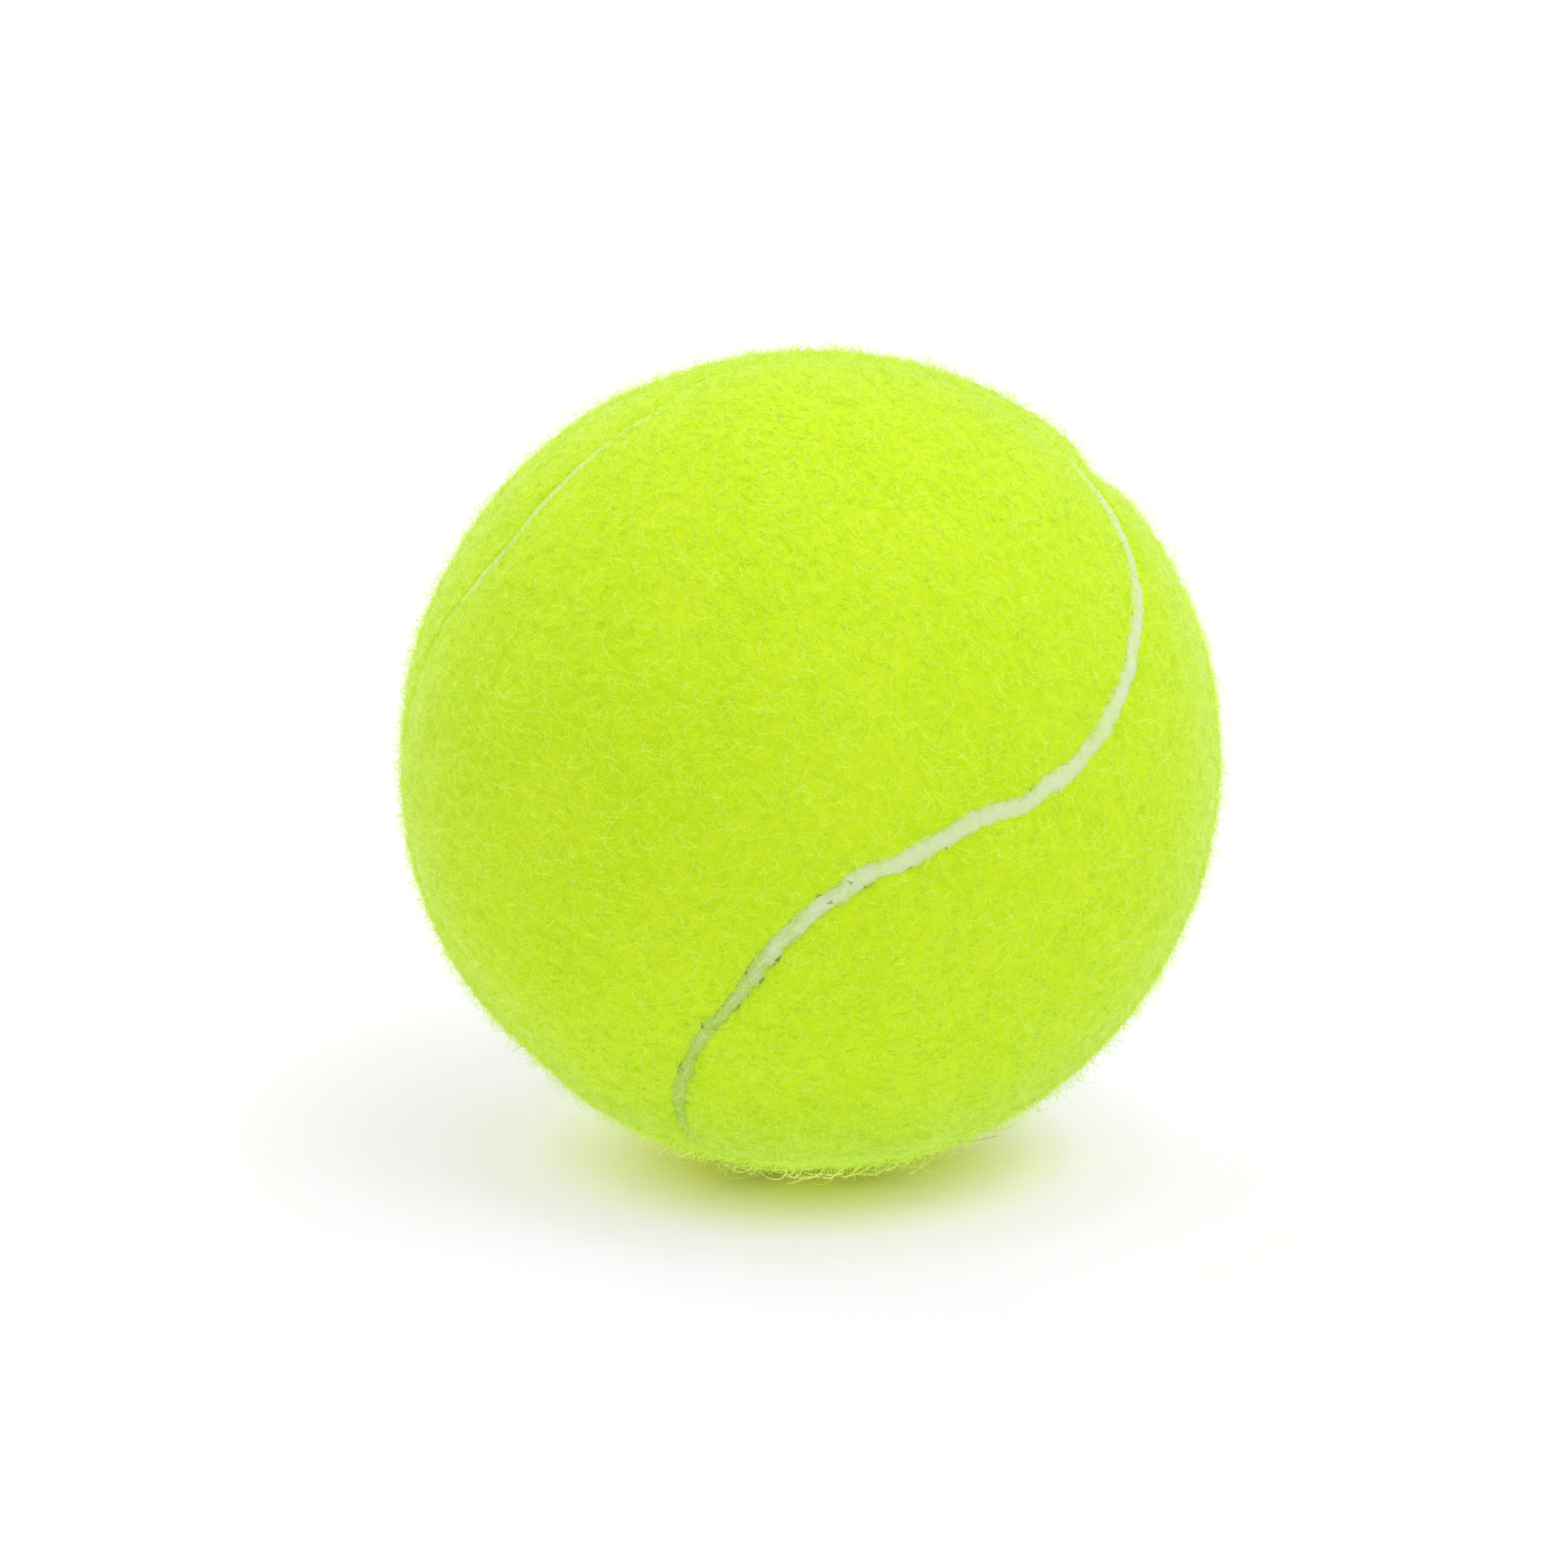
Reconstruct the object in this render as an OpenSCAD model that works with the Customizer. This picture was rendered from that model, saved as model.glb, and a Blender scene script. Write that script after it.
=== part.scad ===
// Tennis ball: a hollow rubber core of two half-shells under a cover of two congruent dog-bone felt panels.
// The ball's centre is the origin, +Z is up, and the seam is turned so that it lies as on the pictured ball.

/* [Core] */
// Outer diameter of the rubber core
core_d = 60.4; // [50:0.1:80]
// Thickness of the core's rubber wall
core_wall = 3.3; // [2:0.1:6]
// Thickness of the cement film between the two half-shells
joint_film = 0.2; // [0.1:0.05:0.6]
// Radius of the bead of cement squeezed out inside the core
joint_bead = 0.6; // [0.3:0.05:1.5]
// Thickness of the cured rubber solution over the core
coat_t = 0.15; // [0.1:0.05:0.5]

/* [Cover] */
// Thickness of the woven base cloth
base_t = 0.9; // [0.4:0.05:2]
// Height of the raised nap over the base cloth
nap_h = 2.25; // [1.5:0.05:4]

/* [Seam] */
// Width of the strip of edge cement between the panels
seam_w = 1.6; // [0.8:0.1:3]
// Depth of the strip's edges below the top of the nap
seam_depth = 0.6; // [0.4:0.1:1.4]
// Rise of the strip's middle over its edges
seam_crown = 0.15; // [0.05:0.05:0.3]
// Sideways reach of the nap's rounded lip along the groove
lip_reach = 0.7; // [0.4:0.1:2]

/* [Cover layout] */
// Share of the third harmonic in the seam curve, which sets how far the lobes swell
lobe_share = 0.27; // [0.2:0.01:0.3]
// Height of the seam curve as a share of its width, which sets how far the waists lie apart
waist_share = 0.61; // [0.5:0.01:0.9]
// Turn of the cover about X
turn_x_degrees = -15; // [-180:1:180]
// Turn of the cover about Y
turn_y_degrees = 67; // [-180:1:180]
// Turn of the cover about Z
turn_z_degrees = 11; // [-180:1:180]

/* [Hidden] */

// Radii of the layers, from the inside out
core_r = core_d / 2;
hollow_r = core_r - core_wall;
coat_r = core_r + coat_t;
base_r = coat_r + base_t;
ball_r = base_r + nap_h;
seam_r = ball_r - seam_depth;
// One overrun for all cuts
overrun = nap_h / 2;
// Reach of the cutting cones beyond the ball's centre
cone_reach = 3 * ball_r;

// Stations along the seam, a multiple of four so that the panels stay congruent
stations = 144;
// Steps round the nap's lip, a quarter ellipse that rises a little past the outer surface and so crosses it
lip_steps = 5;
lip_rise_share = 1.12;
// Steps across the seam strip's crown
crown_steps = 4;
ball_fn = 96;
bead_fn = 24;

function unit(v) = v / norm(v);

// The seam before it is drawn onto the sphere: a wave of four crests, the same after a quarter turn and a flip
function seam_wave(t) = [
    (1 - lobe_share) * cos(t) + lobe_share * cos(3 * t),
    (1 - lobe_share) * sin(t) - lobe_share * sin(3 * t),
    waist_share * sin(2 * t)
];
function seam_slope(t) = [
    (lobe_share - 1) * sin(t) - 3 * lobe_share * sin(3 * t),
    (1 - lobe_share) * cos(t) - 3 * lobe_share * cos(3 * t),
    2 * waist_share * cos(2 * t)
];
// Direction from the centre to the seam, and the direction across the seam towards panel a
function seam_dir(t) = unit(seam_wave(t));
function across_dir(t) = unit(cross(seam_wave(t), seam_slope(t)));
// Direction to a line beside the seam, whose distance is given along the groove's floor
function beside_dir(t, side) =
    let (angle = side / seam_r * 180 / PI) seam_dir(t) * cos(angle) + across_dir(t) * sin(angle);

function station_angle(i) = 360 * i / stations;
function wrap(i, count) = (i + count) % count;

// A closed bar swept along the seam. Each point of its profile is [distance across the seam, radius].
module seam_sweep(profile) {
    count = len(profile);
    points = [for (i = [0:stations - 1], p = profile) beside_dir(station_angle(i), p[0]) * p[1]];
    faces = [
        for (i = [0:stations - 1], k = [0:count - 1])
            let (this_i = i * count, next_i = wrap(i + 1, stations) * count, next_k = wrap(k + 1, count))
            each [[this_i + k, next_i + next_k, this_i + next_k], [this_i + k, next_i + k, next_i + next_k]]
    ];
    polyhedron(points = points, faces = faces);
}

// The cone from the ball's centre through a line beside the seam, closed far outside the ball by a band of
// chords that join each station to its mirror image across the panel's long axis.
module panel_cone(side) {
    first = 3 * stations / 8;
    half = stations / 2;
    points = [
        [0, 0, 0],
        for (i = [0:stations - 1]) beside_dir(station_angle(first + i), side) * cone_reach
    ];
    function at(i) = 1 + wrap(i, stations);
    faces = [
        for (i = [0:stations - 1]) [0, at(i), at(i + 1)],
        [at(0), at(-1), at(1)],
        for (i = [1:half - 2]) each [[at(i), at(-i - 1), at(i + 1)], [at(i), at(-i), at(-i - 1)]],
        [at(half - 1), at(half + 1), at(half)]
    ];
    polyhedron(points = points, faces = faces);
}

module ball(r) {
    sphere(r = r, $fn = ball_fn);
}

// A hollow layer between two radii
module layer(inner_r, outer_r) {
    difference() {
        ball(outer_r);
        ball(inner_r);
    }
}

// Turns the cover from the seam's own frame to the way it lies on the pictured ball
module laid() {
    rotate([turn_x_degrees, turn_y_degrees, turn_z_degrees]) children();
}

// Panel b is panel a flipped over, because the seam is its own image after that turn
module flipped() {
    rotate([180, 0, 0]) children();
}

// One moulded half-shell, cut back at its rim by half of the cement film
module core_half() {
    difference() {
        layer(hollow_r, core_r);
        translate([-core_d, -core_d, joint_film / 2 - 2 * core_d]) cube(2 * core_d);
    }
}

module core_half_upper() {
    color("#8f8a80") core_half();
}

module core_half_lower() {
    color("#8f8a80") rotate([180, 0, 0]) core_half();
}

// The film between the rims, flush with the core outside, with a bead along its inner edge
module core_joint_cement() {
    color("#c9b88a") rotate_extrude($fn = ball_fn) {
        intersection() {
            circle(core_r, $fn = ball_fn);
            translate([hollow_r - joint_bead / 2, -joint_film / 2]) square([core_wall + joint_bead, joint_film]);
        }
        intersection() {
            circle(hollow_r, $fn = ball_fn);
            translate([hollow_r, 0]) circle(joint_bead, $fn = bead_fn);
        }
    }
}

module core_coat() {
    color("#d8cfae") layer(core_r, coat_r);
}

module felt_base() {
    intersection() {
        layer(coat_r, base_r);
        panel_cone(seam_w / 2);
    }
}

module felt_base_a() {
    color("#e6e0c4") laid() felt_base();
}

module felt_base_b() {
    color("#e6e0c4") laid() flipped() felt_base();
}

// Half of the groove's outline: a straight wall up to the strip's edge, then the round of the nap's lip
function lip_outline() = [
    [seam_w / 2, base_r - overrun],
    for (k = [0:lip_steps])
        let (angle = 90 * k / lip_steps)
        [seam_w / 2 + lip_reach * (1 - cos(angle)), seam_r + seam_depth * lip_rise_share * sin(angle)],
    [seam_w / 2 + lip_reach, ball_r + overrun]
];

module groove() {
    right = lip_outline();
    left = [for (k = [len(right) - 1:-1:0]) [-right[k][0], right[k][1]]];
    seam_sweep(concat(right, left));
}

module felt_nap() {
    intersection() {
        difference() {
            layer(base_r, ball_r);
            groove();
        }
        panel_cone(0);
    }
}

module felt_nap_a() {
    color("#c9ec2e") laid() felt_nap();
}

module felt_nap_b() {
    color("#c9ec2e") laid() flipped() felt_nap();
}

// The strip fills the groove from the coat up, with a crowned top
module seam() {
    color("#e3ecc0") laid() difference() {
        seam_sweep([
            [-seam_w / 2, coat_r - coat_t],
            [seam_w / 2, coat_r - coat_t],
            for (k = [0:crown_steps])
                let (x = 1 - 2 * k / crown_steps) [x * seam_w / 2, seam_r + seam_crown * (1 - x * x)]
        ]);
        ball(coat_r);
    }
}

core_half_upper();
core_half_lower();
core_joint_cement();
core_coat();
felt_base_a();
felt_base_b();
felt_nap_a();
felt_nap_b();
seam();
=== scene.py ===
"""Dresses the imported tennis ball: two felt panels, the cement seam between them and the rubber core."""
import logging
import math
from dataclasses import dataclass, replace
from enum import Enum
from typing import Any

import bpy
import numpy as np
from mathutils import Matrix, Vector, noise


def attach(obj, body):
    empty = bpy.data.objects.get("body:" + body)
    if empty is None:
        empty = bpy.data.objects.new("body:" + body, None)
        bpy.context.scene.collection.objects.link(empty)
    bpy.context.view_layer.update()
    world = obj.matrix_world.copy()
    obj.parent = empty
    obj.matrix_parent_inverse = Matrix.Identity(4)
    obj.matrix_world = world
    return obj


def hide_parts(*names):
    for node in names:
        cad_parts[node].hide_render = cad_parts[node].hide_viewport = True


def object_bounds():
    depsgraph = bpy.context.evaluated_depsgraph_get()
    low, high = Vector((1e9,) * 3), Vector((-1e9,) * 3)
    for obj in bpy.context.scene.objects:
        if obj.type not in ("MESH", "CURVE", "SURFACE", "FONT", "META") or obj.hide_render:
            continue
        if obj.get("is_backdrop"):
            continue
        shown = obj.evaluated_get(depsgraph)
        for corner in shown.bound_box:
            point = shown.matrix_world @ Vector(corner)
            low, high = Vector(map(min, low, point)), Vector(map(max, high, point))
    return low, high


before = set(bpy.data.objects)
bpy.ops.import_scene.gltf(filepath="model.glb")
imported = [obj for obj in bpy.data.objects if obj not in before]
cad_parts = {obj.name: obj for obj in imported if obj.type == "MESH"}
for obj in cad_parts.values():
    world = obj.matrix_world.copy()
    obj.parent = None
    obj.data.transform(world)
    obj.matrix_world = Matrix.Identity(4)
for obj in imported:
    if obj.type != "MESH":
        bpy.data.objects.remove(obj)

log = logging.getLogger("tennis_ball")

MM = 0.001
ROOT = "root"
BAKE_MAP = "OFBake"
CLOTH_MAP = "cloth"
# The direction in which the picture was taken, 16 degrees down
SIGHT = (0.0, 0.961, -0.276)
# The seam's length in full circles of the ball, which turns a step in stations into a length
SEAM_TURNS = 1.54
# The station at which a panel's long axis meets the seam
PANEL_END_DEGREES = 135

Colour = tuple[float, float, float]
Array = np.ndarray


class Panel(Enum):
    """The two congruent felt panels. The value is the side of the seam on which the panel lies."""

    A = 1
    B = -1

    @property
    def letter(self) -> str:
        """The letter that ends the names of this panel's pieces."""
        return self.name.lower()


class Layer(Enum):
    """The textile layers of a panel, by the name that their CAD nodes start with."""

    NAP = "felt_nap"
    BASE = "felt_base"


class Slot(Enum):
    """The record's material slots."""

    RUBBER = "core_rubber"
    JOINT = "joint_cement"
    SOLUTION = "rubber_solution"
    CLOTH = "base_cloth"
    NAP = "felt_nap"
    SEAM = "seam_cement"


def unit(vectors: Array) -> Array:
    """Scales vectors to a length of one.

    Args:
        vectors: Vectors in the last axis.

    Returns:
        The unit vectors, in an array of the same shape.
    """
    return vectors / np.linalg.norm(vectors, axis=-1, keepdims=True)


def smooth_step(values: Array) -> Array:
    """Eases values from 0 to 1, flat at both ends.

    Args:
        values: Shares of the way, clipped to 0 and 1.

    Returns:
        The eased shares.
    """
    share = np.clip(values, 0, 1)
    return share * share * (3 - 2 * share)


def vertex_points(mesh: bpy.types.Mesh) -> Array:
    """Reads the vertices of a mesh.

    Args:
        mesh: The mesh.

    Returns:
        An array of points in metres.
    """
    points = np.empty(3 * len(mesh.vertices), np.float32)
    mesh.vertices.foreach_get("co", points)
    return points.reshape(-1, 3).astype(float)


def reach_of(name: str) -> float:
    """Gives the largest distance of a CAD node's surface from the ball's centre.

    Args:
        name: The node's name.

    Returns:
        The distance in metres.
    """
    return float(np.linalg.norm(vertex_points(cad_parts[name].data), axis=1).max())


# Node trees


class Wire:
    """An output socket of a node tree, with Python's operators for the maths on it."""

    def __init__(self, graph: "Graph", socket: bpy.types.NodeSocket) -> None:
        """Wraps a socket.

        Args:
            graph: The graph that holds the socket's node.
            socket: The output socket.
        """
        self.graph = graph
        self.socket = socket

    @property
    def is_vector(self) -> bool:
        """Whether the socket carries three numbers."""
        return self.socket.type in {"VECTOR", "RGBA"}

    def __add__(self, other: Any) -> "Wire":
        """Adds."""
        return self.graph.maths("ADD", self, other)

    def __radd__(self, other: Any) -> "Wire":
        """Adds, with the wire on the right."""
        return self.graph.maths("ADD", other, self)

    def __sub__(self, other: Any) -> "Wire":
        """Subtracts."""
        return self.graph.maths("SUBTRACT", self, other)

    def __rsub__(self, other: Any) -> "Wire":
        """Subtracts the wire from a number."""
        return self.graph.maths("SUBTRACT", other, self)

    def __mul__(self, other: Any) -> "Wire":
        """Multiplies."""
        return self.graph.maths("MULTIPLY", self, other)

    def __rmul__(self, other: Any) -> "Wire":
        """Multiplies, with the wire on the right."""
        return self.graph.maths("MULTIPLY", other, self)

    def __truediv__(self, other: Any) -> "Wire":
        """Divides."""
        return self.graph.maths("DIVIDE", self, other)

    def __pow__(self, other: Any) -> "Wire":
        """Raises to a power."""
        return self.graph.maths("POWER", self, other)

    def __gt__(self, other: Any) -> "Wire":
        """Gives 1 where the wire is greater, and otherwise 0."""
        return self.graph.maths("GREATER_THAN", self, other)


class Graph:
    """Adds nodes to a shader tree or a geometry tree."""

    def __init__(self, tree: bpy.types.NodeTree) -> None:
        """Starts on an empty tree.

        Args:
            tree: The tree that gets the nodes.
        """
        self.tree = tree
        tree.nodes.clear()

    def plug(self, socket: bpy.types.NodeSocket, value: Any) -> None:
        """Links a wire to an input socket, or sets the socket's own value.

        Args:
            socket: The input socket.
            value: A wire or a constant.
        """
        if isinstance(value, Wire):
            self.tree.links.new(value.socket, socket)
        elif socket.type == "RGBA" and len(value) == 3:
            socket.default_value = (*value, 1.0)
        else:
            socket.default_value = value

    def node(self, kind: str, values: dict[Any, Any] | None = None, **settings: Any) -> bpy.types.Node:
        """Adds a node of any type.

        Args:
            kind: The node's type.
            values: The wires or constants of its input sockets, by their names or numbers.
            **settings: The node's own settings, set first. A ramp takes stops, as (place, colour) pairs.

        Returns:
            The new node.
        """
        node = self.tree.nodes.new(kind)
        stops = settings.pop("stops", ())
        for name, value in settings.items():
            setattr(node, name, value)
        for number, (place, colour) in enumerate(stops):
            elements = node.color_ramp.elements
            element = elements[number] if number < len(elements) else elements.new(place)
            element.position = place
            element.color = (*colour, 1.0)
        for name, value in (values or {}).items():
            self.plug(node.inputs[name], value)
        return node

    def wire(self, kind: str, output: Any, values: dict[Any, Any] | None = None, **settings: Any) -> Wire:
        """Adds a node of any type and gives one of its outputs.

        Args:
            kind: The node's type.
            output: The output socket's name or number.
            values: The wires or constants of its input sockets.
            **settings: The node's own settings.

        Returns:
            The output as a wire.
        """
        return Wire(self, self.node(kind, values, **settings).outputs[output])

    def maths(self, operation: str, first: Any, second: Any = 0.0) -> Wire:
        """Adds a Math node, or a Vector Math node where a term has three numbers.

        Args:
            operation: The operation's name.
            first: The first term.
            second: The second term.

        Returns:
            The result.
        """
        vectors = [isinstance(x, tuple) or isinstance(x, Wire) and x.is_vector for x in (first, second)]
        if not any(vectors):
            return self.wire("ShaderNodeMath", 0, {0: first, 1: second}, operation=operation)
        if operation == "MULTIPLY" and not all(vectors):
            vector, number = (first, second) if vectors[0] else (second, first)
            return self.wire("ShaderNodeVectorMath", 0, {0: vector, "Scale": number}, operation="SCALE")
        return self.wire("ShaderNodeVectorMath", 0, {0: first, 1: second}, operation=operation)

    def typed(self, node: bpy.types.Node, values: dict[str, Any], output: str) -> Wire:
        """Fills the sockets of a node that has a set of them for each data type, and gives an output.

        Args:
            node: The node.
            values: The wires or constants of its input sockets, by their identifiers.
            output: The output socket's identifier.

        Returns:
            The output as a wire.
        """
        for socket in node.inputs:
            if socket.identifier in values:
                self.plug(socket, values[socket.identifier])
        return Wire(self, next(s for s in node.outputs if s.identifier == output))

    def mix(self, share: Any, first: Any, second: Any) -> Wire:
        """Mixes two colours.

        Args:
            share: The share of the second colour.
            first: The first colour.
            second: The second colour.

        Returns:
            The mixed colour.
        """
        node = self.node("ShaderNodeMix", data_type="RGBA")
        return self.typed(node, {"Factor_Float": share, "A_Color": first, "B_Color": second}, "Result_Color")

    def ease(self, value: Any, low: float, high: float, to_low: float = 0.0, to_high: float = 1.0) -> Wire:
        """Maps a range of a value smoothly to another range, clamped at both ends.

        Args:
            value: The value.
            low: Where the range starts.
            high: Where the range ends.
            to_low: The result at the start.
            to_high: The result at the end.

        Returns:
            The mapped value.
        """
        values = {"Value": value, "From Min": low, "From Max": high, "To Min": to_low, "To Max": to_high}
        return self.wire("ShaderNodeMapRange", "Result", values, interpolation_type="SMOOTHSTEP")

    def background_rays(self) -> Wire:
        """Gives 1 for camera, glossy and transmission rays, which show the background, and otherwise 0."""
        rays = self.node("ShaderNodeLightPath")
        kinds = ("Is Camera Ray", "Is Glossy Ray", "Is Transmission Ray")
        seen, reflected, through = (Wire(self, rays.outputs[kind]) for kind in kinds)
        return self.maths("MAXIMUM", self.maths("MAXIMUM", seen, reflected), through)


class Shader(Graph):
    """The node tree of a material, with the patterns that the finishes share."""

    # How strong each finer layer of mottling is, as a share of the layer before
    LAYER_SHARE = 0.55

    def __init__(self, name: str) -> None:
        """Makes a new material.

        Args:
            name: The material's name.
        """
        self.material = bpy.data.materials.new(name)
        self.material.use_nodes = True
        super().__init__(self.material.node_tree)
        self.place = self.wire("ShaderNodeTexCoord", "Object")

    def grain(self, size: float, detail: float = 2.0, place: Wire | None = None) -> Wire:
        """Adds soft random mottling.

        Args:
            size: The usual size of a spot, in metres.
            detail: How many finer layers it has.
            place: The coordinates, or None for the object's own.

        Returns:
            Values about 0.5.
        """
        values = {
            "Vector": place or self.place,
            "Scale": 1 / size,
            "Detail": detail,
            "Roughness": self.LAYER_SHARE,
        }
        return self.wire("ShaderNodeTexNoise", 0, values)

    def bump(self, height: Wire, depth: float) -> Wire:
        """Turns a height into a change of the normal.

        Args:
            height: The height, from 0 to 1.
            depth: What a height of one stands for, in metres.

        Returns:
            The normal.
        """
        return self.wire("ShaderNodeBump", "Normal", {"Height": height, "Distance": depth, "Strength": 1.0})

    def attribute(self, name: str) -> Wire:
        """Reads a number that the piece's mesh carries."""
        return self.wire("ShaderNodeAttribute", "Fac", attribute_name=name)

    def principled(self, values: dict[str, Any]) -> bpy.types.Material:
        """Ends the tree in a Principled shader.

        Args:
            values: The wires and constants of its sockets.

        Returns:
            The material.
        """
        shader = self.wire("ShaderNodeBsdfPrincipled", "BSDF", values)
        self.node("ShaderNodeOutputMaterial", {"Surface": shader})
        return self.material


# Finishes


@dataclass(frozen=True)
class NapFelt:
    """Felt under its standing fibres: mottled, with small pits between the tufts."""

    deep: Colour = (0.61, 0.86, 0.011)
    pale: Colour = (0.68, 0.92, 0.020)
    warm: Colour = (0.75, 0.94, 0.030)
    warmth: float = 0.3
    tuft: float = 0.9 * MM
    cloud: float = 9.0 * MM
    pit: float = 0.35 * MM
    relief: float = 0.05 * MM
    roughness: tuple[float, float] = (0.82, 0.96)

    def make(self) -> bpy.types.Material:
        """Builds the material."""
        shader = Shader("nap_felt")
        tufts = shader.ease(shader.grain(self.tuft, 3.0), 0.25, 0.75)
        clouds = shader.ease(shader.grain(self.cloud, 1.0), 0.35, 0.65)
        pits = shader.grain(self.pit, 2.0)
        colour = shader.mix(tufts, self.deep, self.pale)
        colour = shader.mix(clouds * self.warmth, colour, self.warm)
        height = tufts * 0.6 + pits * 0.4
        return shader.principled({
            "Base Color": colour,
            "Roughness": shader.ease(pits, 0.2, 0.8, *self.roughness),
            "Specular IOR Level": 0.1,
            "Sheen Weight": 0.7,
            "Sheen Roughness": 0.3,
            "Normal": shader.bump(height, self.relief),
        })


@dataclass(frozen=True)
class NapFibre:
    """Single dyed fibres. Each has its own tone and is paler high above the nap, a painted sheen. Each also
    glows with a share of its own colour, painted light that stands in for light let through the fibre.

    The tone, the height and broad clouds shift the shade from the dark colour to the light one, each by its
    own share.
    """

    name: str = "nap_fibre"
    dark: Colour = (0.63, 0.88, 0.014)
    usual: Colour = (0.68, 0.92, 0.026)
    light: Colour = (0.76, 0.96, 0.065)
    # Emission strength: painted glow that stands in for light let through the fibre
    through: float = 0.12
    sheen: float = 0.3
    by_tone: float = 0.35
    by_height: float = 0.65
    by_cloud: float = 0.3
    cloud: float = 7.0 * MM
    least_shade: float = 0.05
    roughness: tuple[float, float] = (0.7, 0.9)

    def make(self) -> bpy.types.Material:
        """Builds the material."""
        shader = Shader(self.name)
        tone = shader.attribute("tone")
        height = shader.ease(shader.attribute("height"), 0.0, 1.0)
        clouds = shader.grain(self.cloud, 1.0)
        # The height term is painted sheen: paler high above the nap
        shade = self.least_shade + tone * self.by_tone + height * self.by_height
        shade = shade + (clouds - 0.5) * self.by_cloud
        colour = shader.wire("ShaderNodeValToRGB", "Color", {"Fac": shade}, stops=(
            (0.02, self.dark),
            (0.45, self.usual),
            (0.98, self.light),
        ))
        return shader.principled({
            "Base Color": colour,
            "Roughness": shader.ease(tone, 0.0, 1.0, *self.roughness),
            "Specular IOR Level": 0.12,
            "Sheen Weight": self.sheen,
            "Sheen Roughness": 0.5,
            # Painted light: the fibre glows with its own colour
            "Emission Color": colour,
            "Emission Strength": self.through,
        })


@dataclass(frozen=True)
class EdgeCement:
    """Cured edge cement, chalky in the middle and tinted by the felt along both edges. Over one stretch it is
    darker green, painted shade mixed with felt tint, and in its nicks it is darkened with painted shade.
    """

    chalk: Colour = (0.78, 0.86, 0.60)
    tinted: Colour = (0.68, 0.86, 0.23)
    # Darker green: painted shade mixed with felt tint
    stained: Colour = (0.48, 0.67, 0.14)
    felted: Colour = (0.74, 0.93, 0.14)
    # Dark specks of dirt, and painted shade in the nicks
    dirt: Colour = (0.20, 0.27, 0.08)
    grit: float = 0.45 * MM
    blot: float = 2.6 * MM
    streak: float = 0.28 * MM
    speck: float = 0.9 * MM
    relief: float = 0.12 * MM
    roughness: tuple[float, float] = (0.55, 0.8)

    def make(self) -> bpy.types.Material:
        """Builds the material."""
        shader = Shader("edge_cement")
        edge = shader.attribute("edge")
        grain = shader.grain(self.grit, 3.0)
        blots = shader.grain(self.blot, 2.0)
        run = shader.wire("ShaderNodeAttribute", "Vector", attribute_name="run")
        streaks = shader.grain(self.streak, 2.0, run)
        rim = shader.ease(edge + (grain - 0.5) * 0.3 + (streaks - 0.5) * 0.5, 0.50, 1.0)
        colour = shader.mix(shader.ease(blots, 0.35, 0.75) * 0.3, self.chalk, self.tinted)
        colour = shader.mix(rim * 0.75, colour, self.tinted)
        # Darker green along one stretch: painted shade mixed with felt tint
        stain = shader.attribute("stain")
        shade_and_stain_mask = stain + (blots - 0.5) * 0.7 + (streaks - 0.5) * 1.1 + (edge - 0.5) * 0.3
        colour = shader.mix(shader.ease(shade_and_stain_mask, 0.15, 1.0), colour, self.stained)
        pale = shader.ease(streaks - edge * 0.12, 0.54, 0.68) * shader.ease(stain, 0.2, 0.9)
        colour = shader.mix(pale * 0.55, colour, self.chalk)
        specks = shader.ease(shader.grain(self.speck, 2.0) + edge * edge * 0.12 + stain * 0.05, 0.72, 0.80)
        colour = shader.mix(specks * 0.7, colour, self.dirt)
        # Painted shade in the nicks
        nicks = shader.ease(shader.attribute("dirt") + (grain - 0.5) * 0.4, 0.3, 0.7)
        colour = shader.mix(nicks * 0.85, colour, self.dirt)
        felted = shader.ease(shader.attribute("felted") + (grain - 0.5) * 0.3, 0.1, 0.7)
        colour = shader.mix(felted, colour, self.felted)
        return shader.principled({
            "Base Color": colour,
            "Roughness": shader.ease(grain, 0.3, 0.7, *self.roughness),
            "Specular IOR Level": 0.3,
            "Normal": shader.bump(grain * 0.7 + blots * 0.3, self.relief),
        })


@dataclass(frozen=True)
class WovenCloth:
    """Plain woven base cloth, drawn on the cloth's own flat map. Its hollows are darker, painted shade, and
    darker slubs take the same colour.
    """

    yarn: Colour = (0.79, 0.75, 0.55)
    gap: Colour = (0.42, 0.38, 0.24)
    pitch: float = 0.7 * MM
    slub: float = 1.8 * MM
    relief: float = 0.2 * MM
    roughness: tuple[float, float] = (0.8, 0.95)

    def make(self) -> bpy.types.Material:
        """Builds the material."""
        shader = Shader(Slot.CLOTH.value)
        flat = shader.wire("ShaderNodeUVMap", 0, uv_map=CLOTH_MAP)
        parts = shader.node("ShaderNodeSeparateXYZ", {0: flat})
        across = Wire(shader, parts.outputs[0]) * (math.pi / self.pitch)
        along = Wire(shader, parts.outputs[1]) * (math.pi / self.pitch)
        warp, weft = shader.maths("SINE", across), shader.maths("SINE", along)
        over = shader.ease(warp * weft, -0.2, 0.2)
        height = shader.maths("ABSOLUTE", warp) * over + shader.maths("ABSOLUTE", weft) * (1 - over)
        slubs = shader.grain(self.slub, 3.0)
        # Painted shade: darker where the weave is low
        colour = shader.mix(shader.ease(height, 0.15, 0.8), self.gap, self.yarn)
        colour = shader.mix((slubs - 0.4) * 0.5, colour, self.gap)
        return shader.principled({
            "Base Color": colour,
            "Roughness": shader.ease(slubs, 0.3, 0.7, *self.roughness),
            "Specular IOR Level": 0.2,
            "Normal": shader.bump(height, self.relief),
        })


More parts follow.
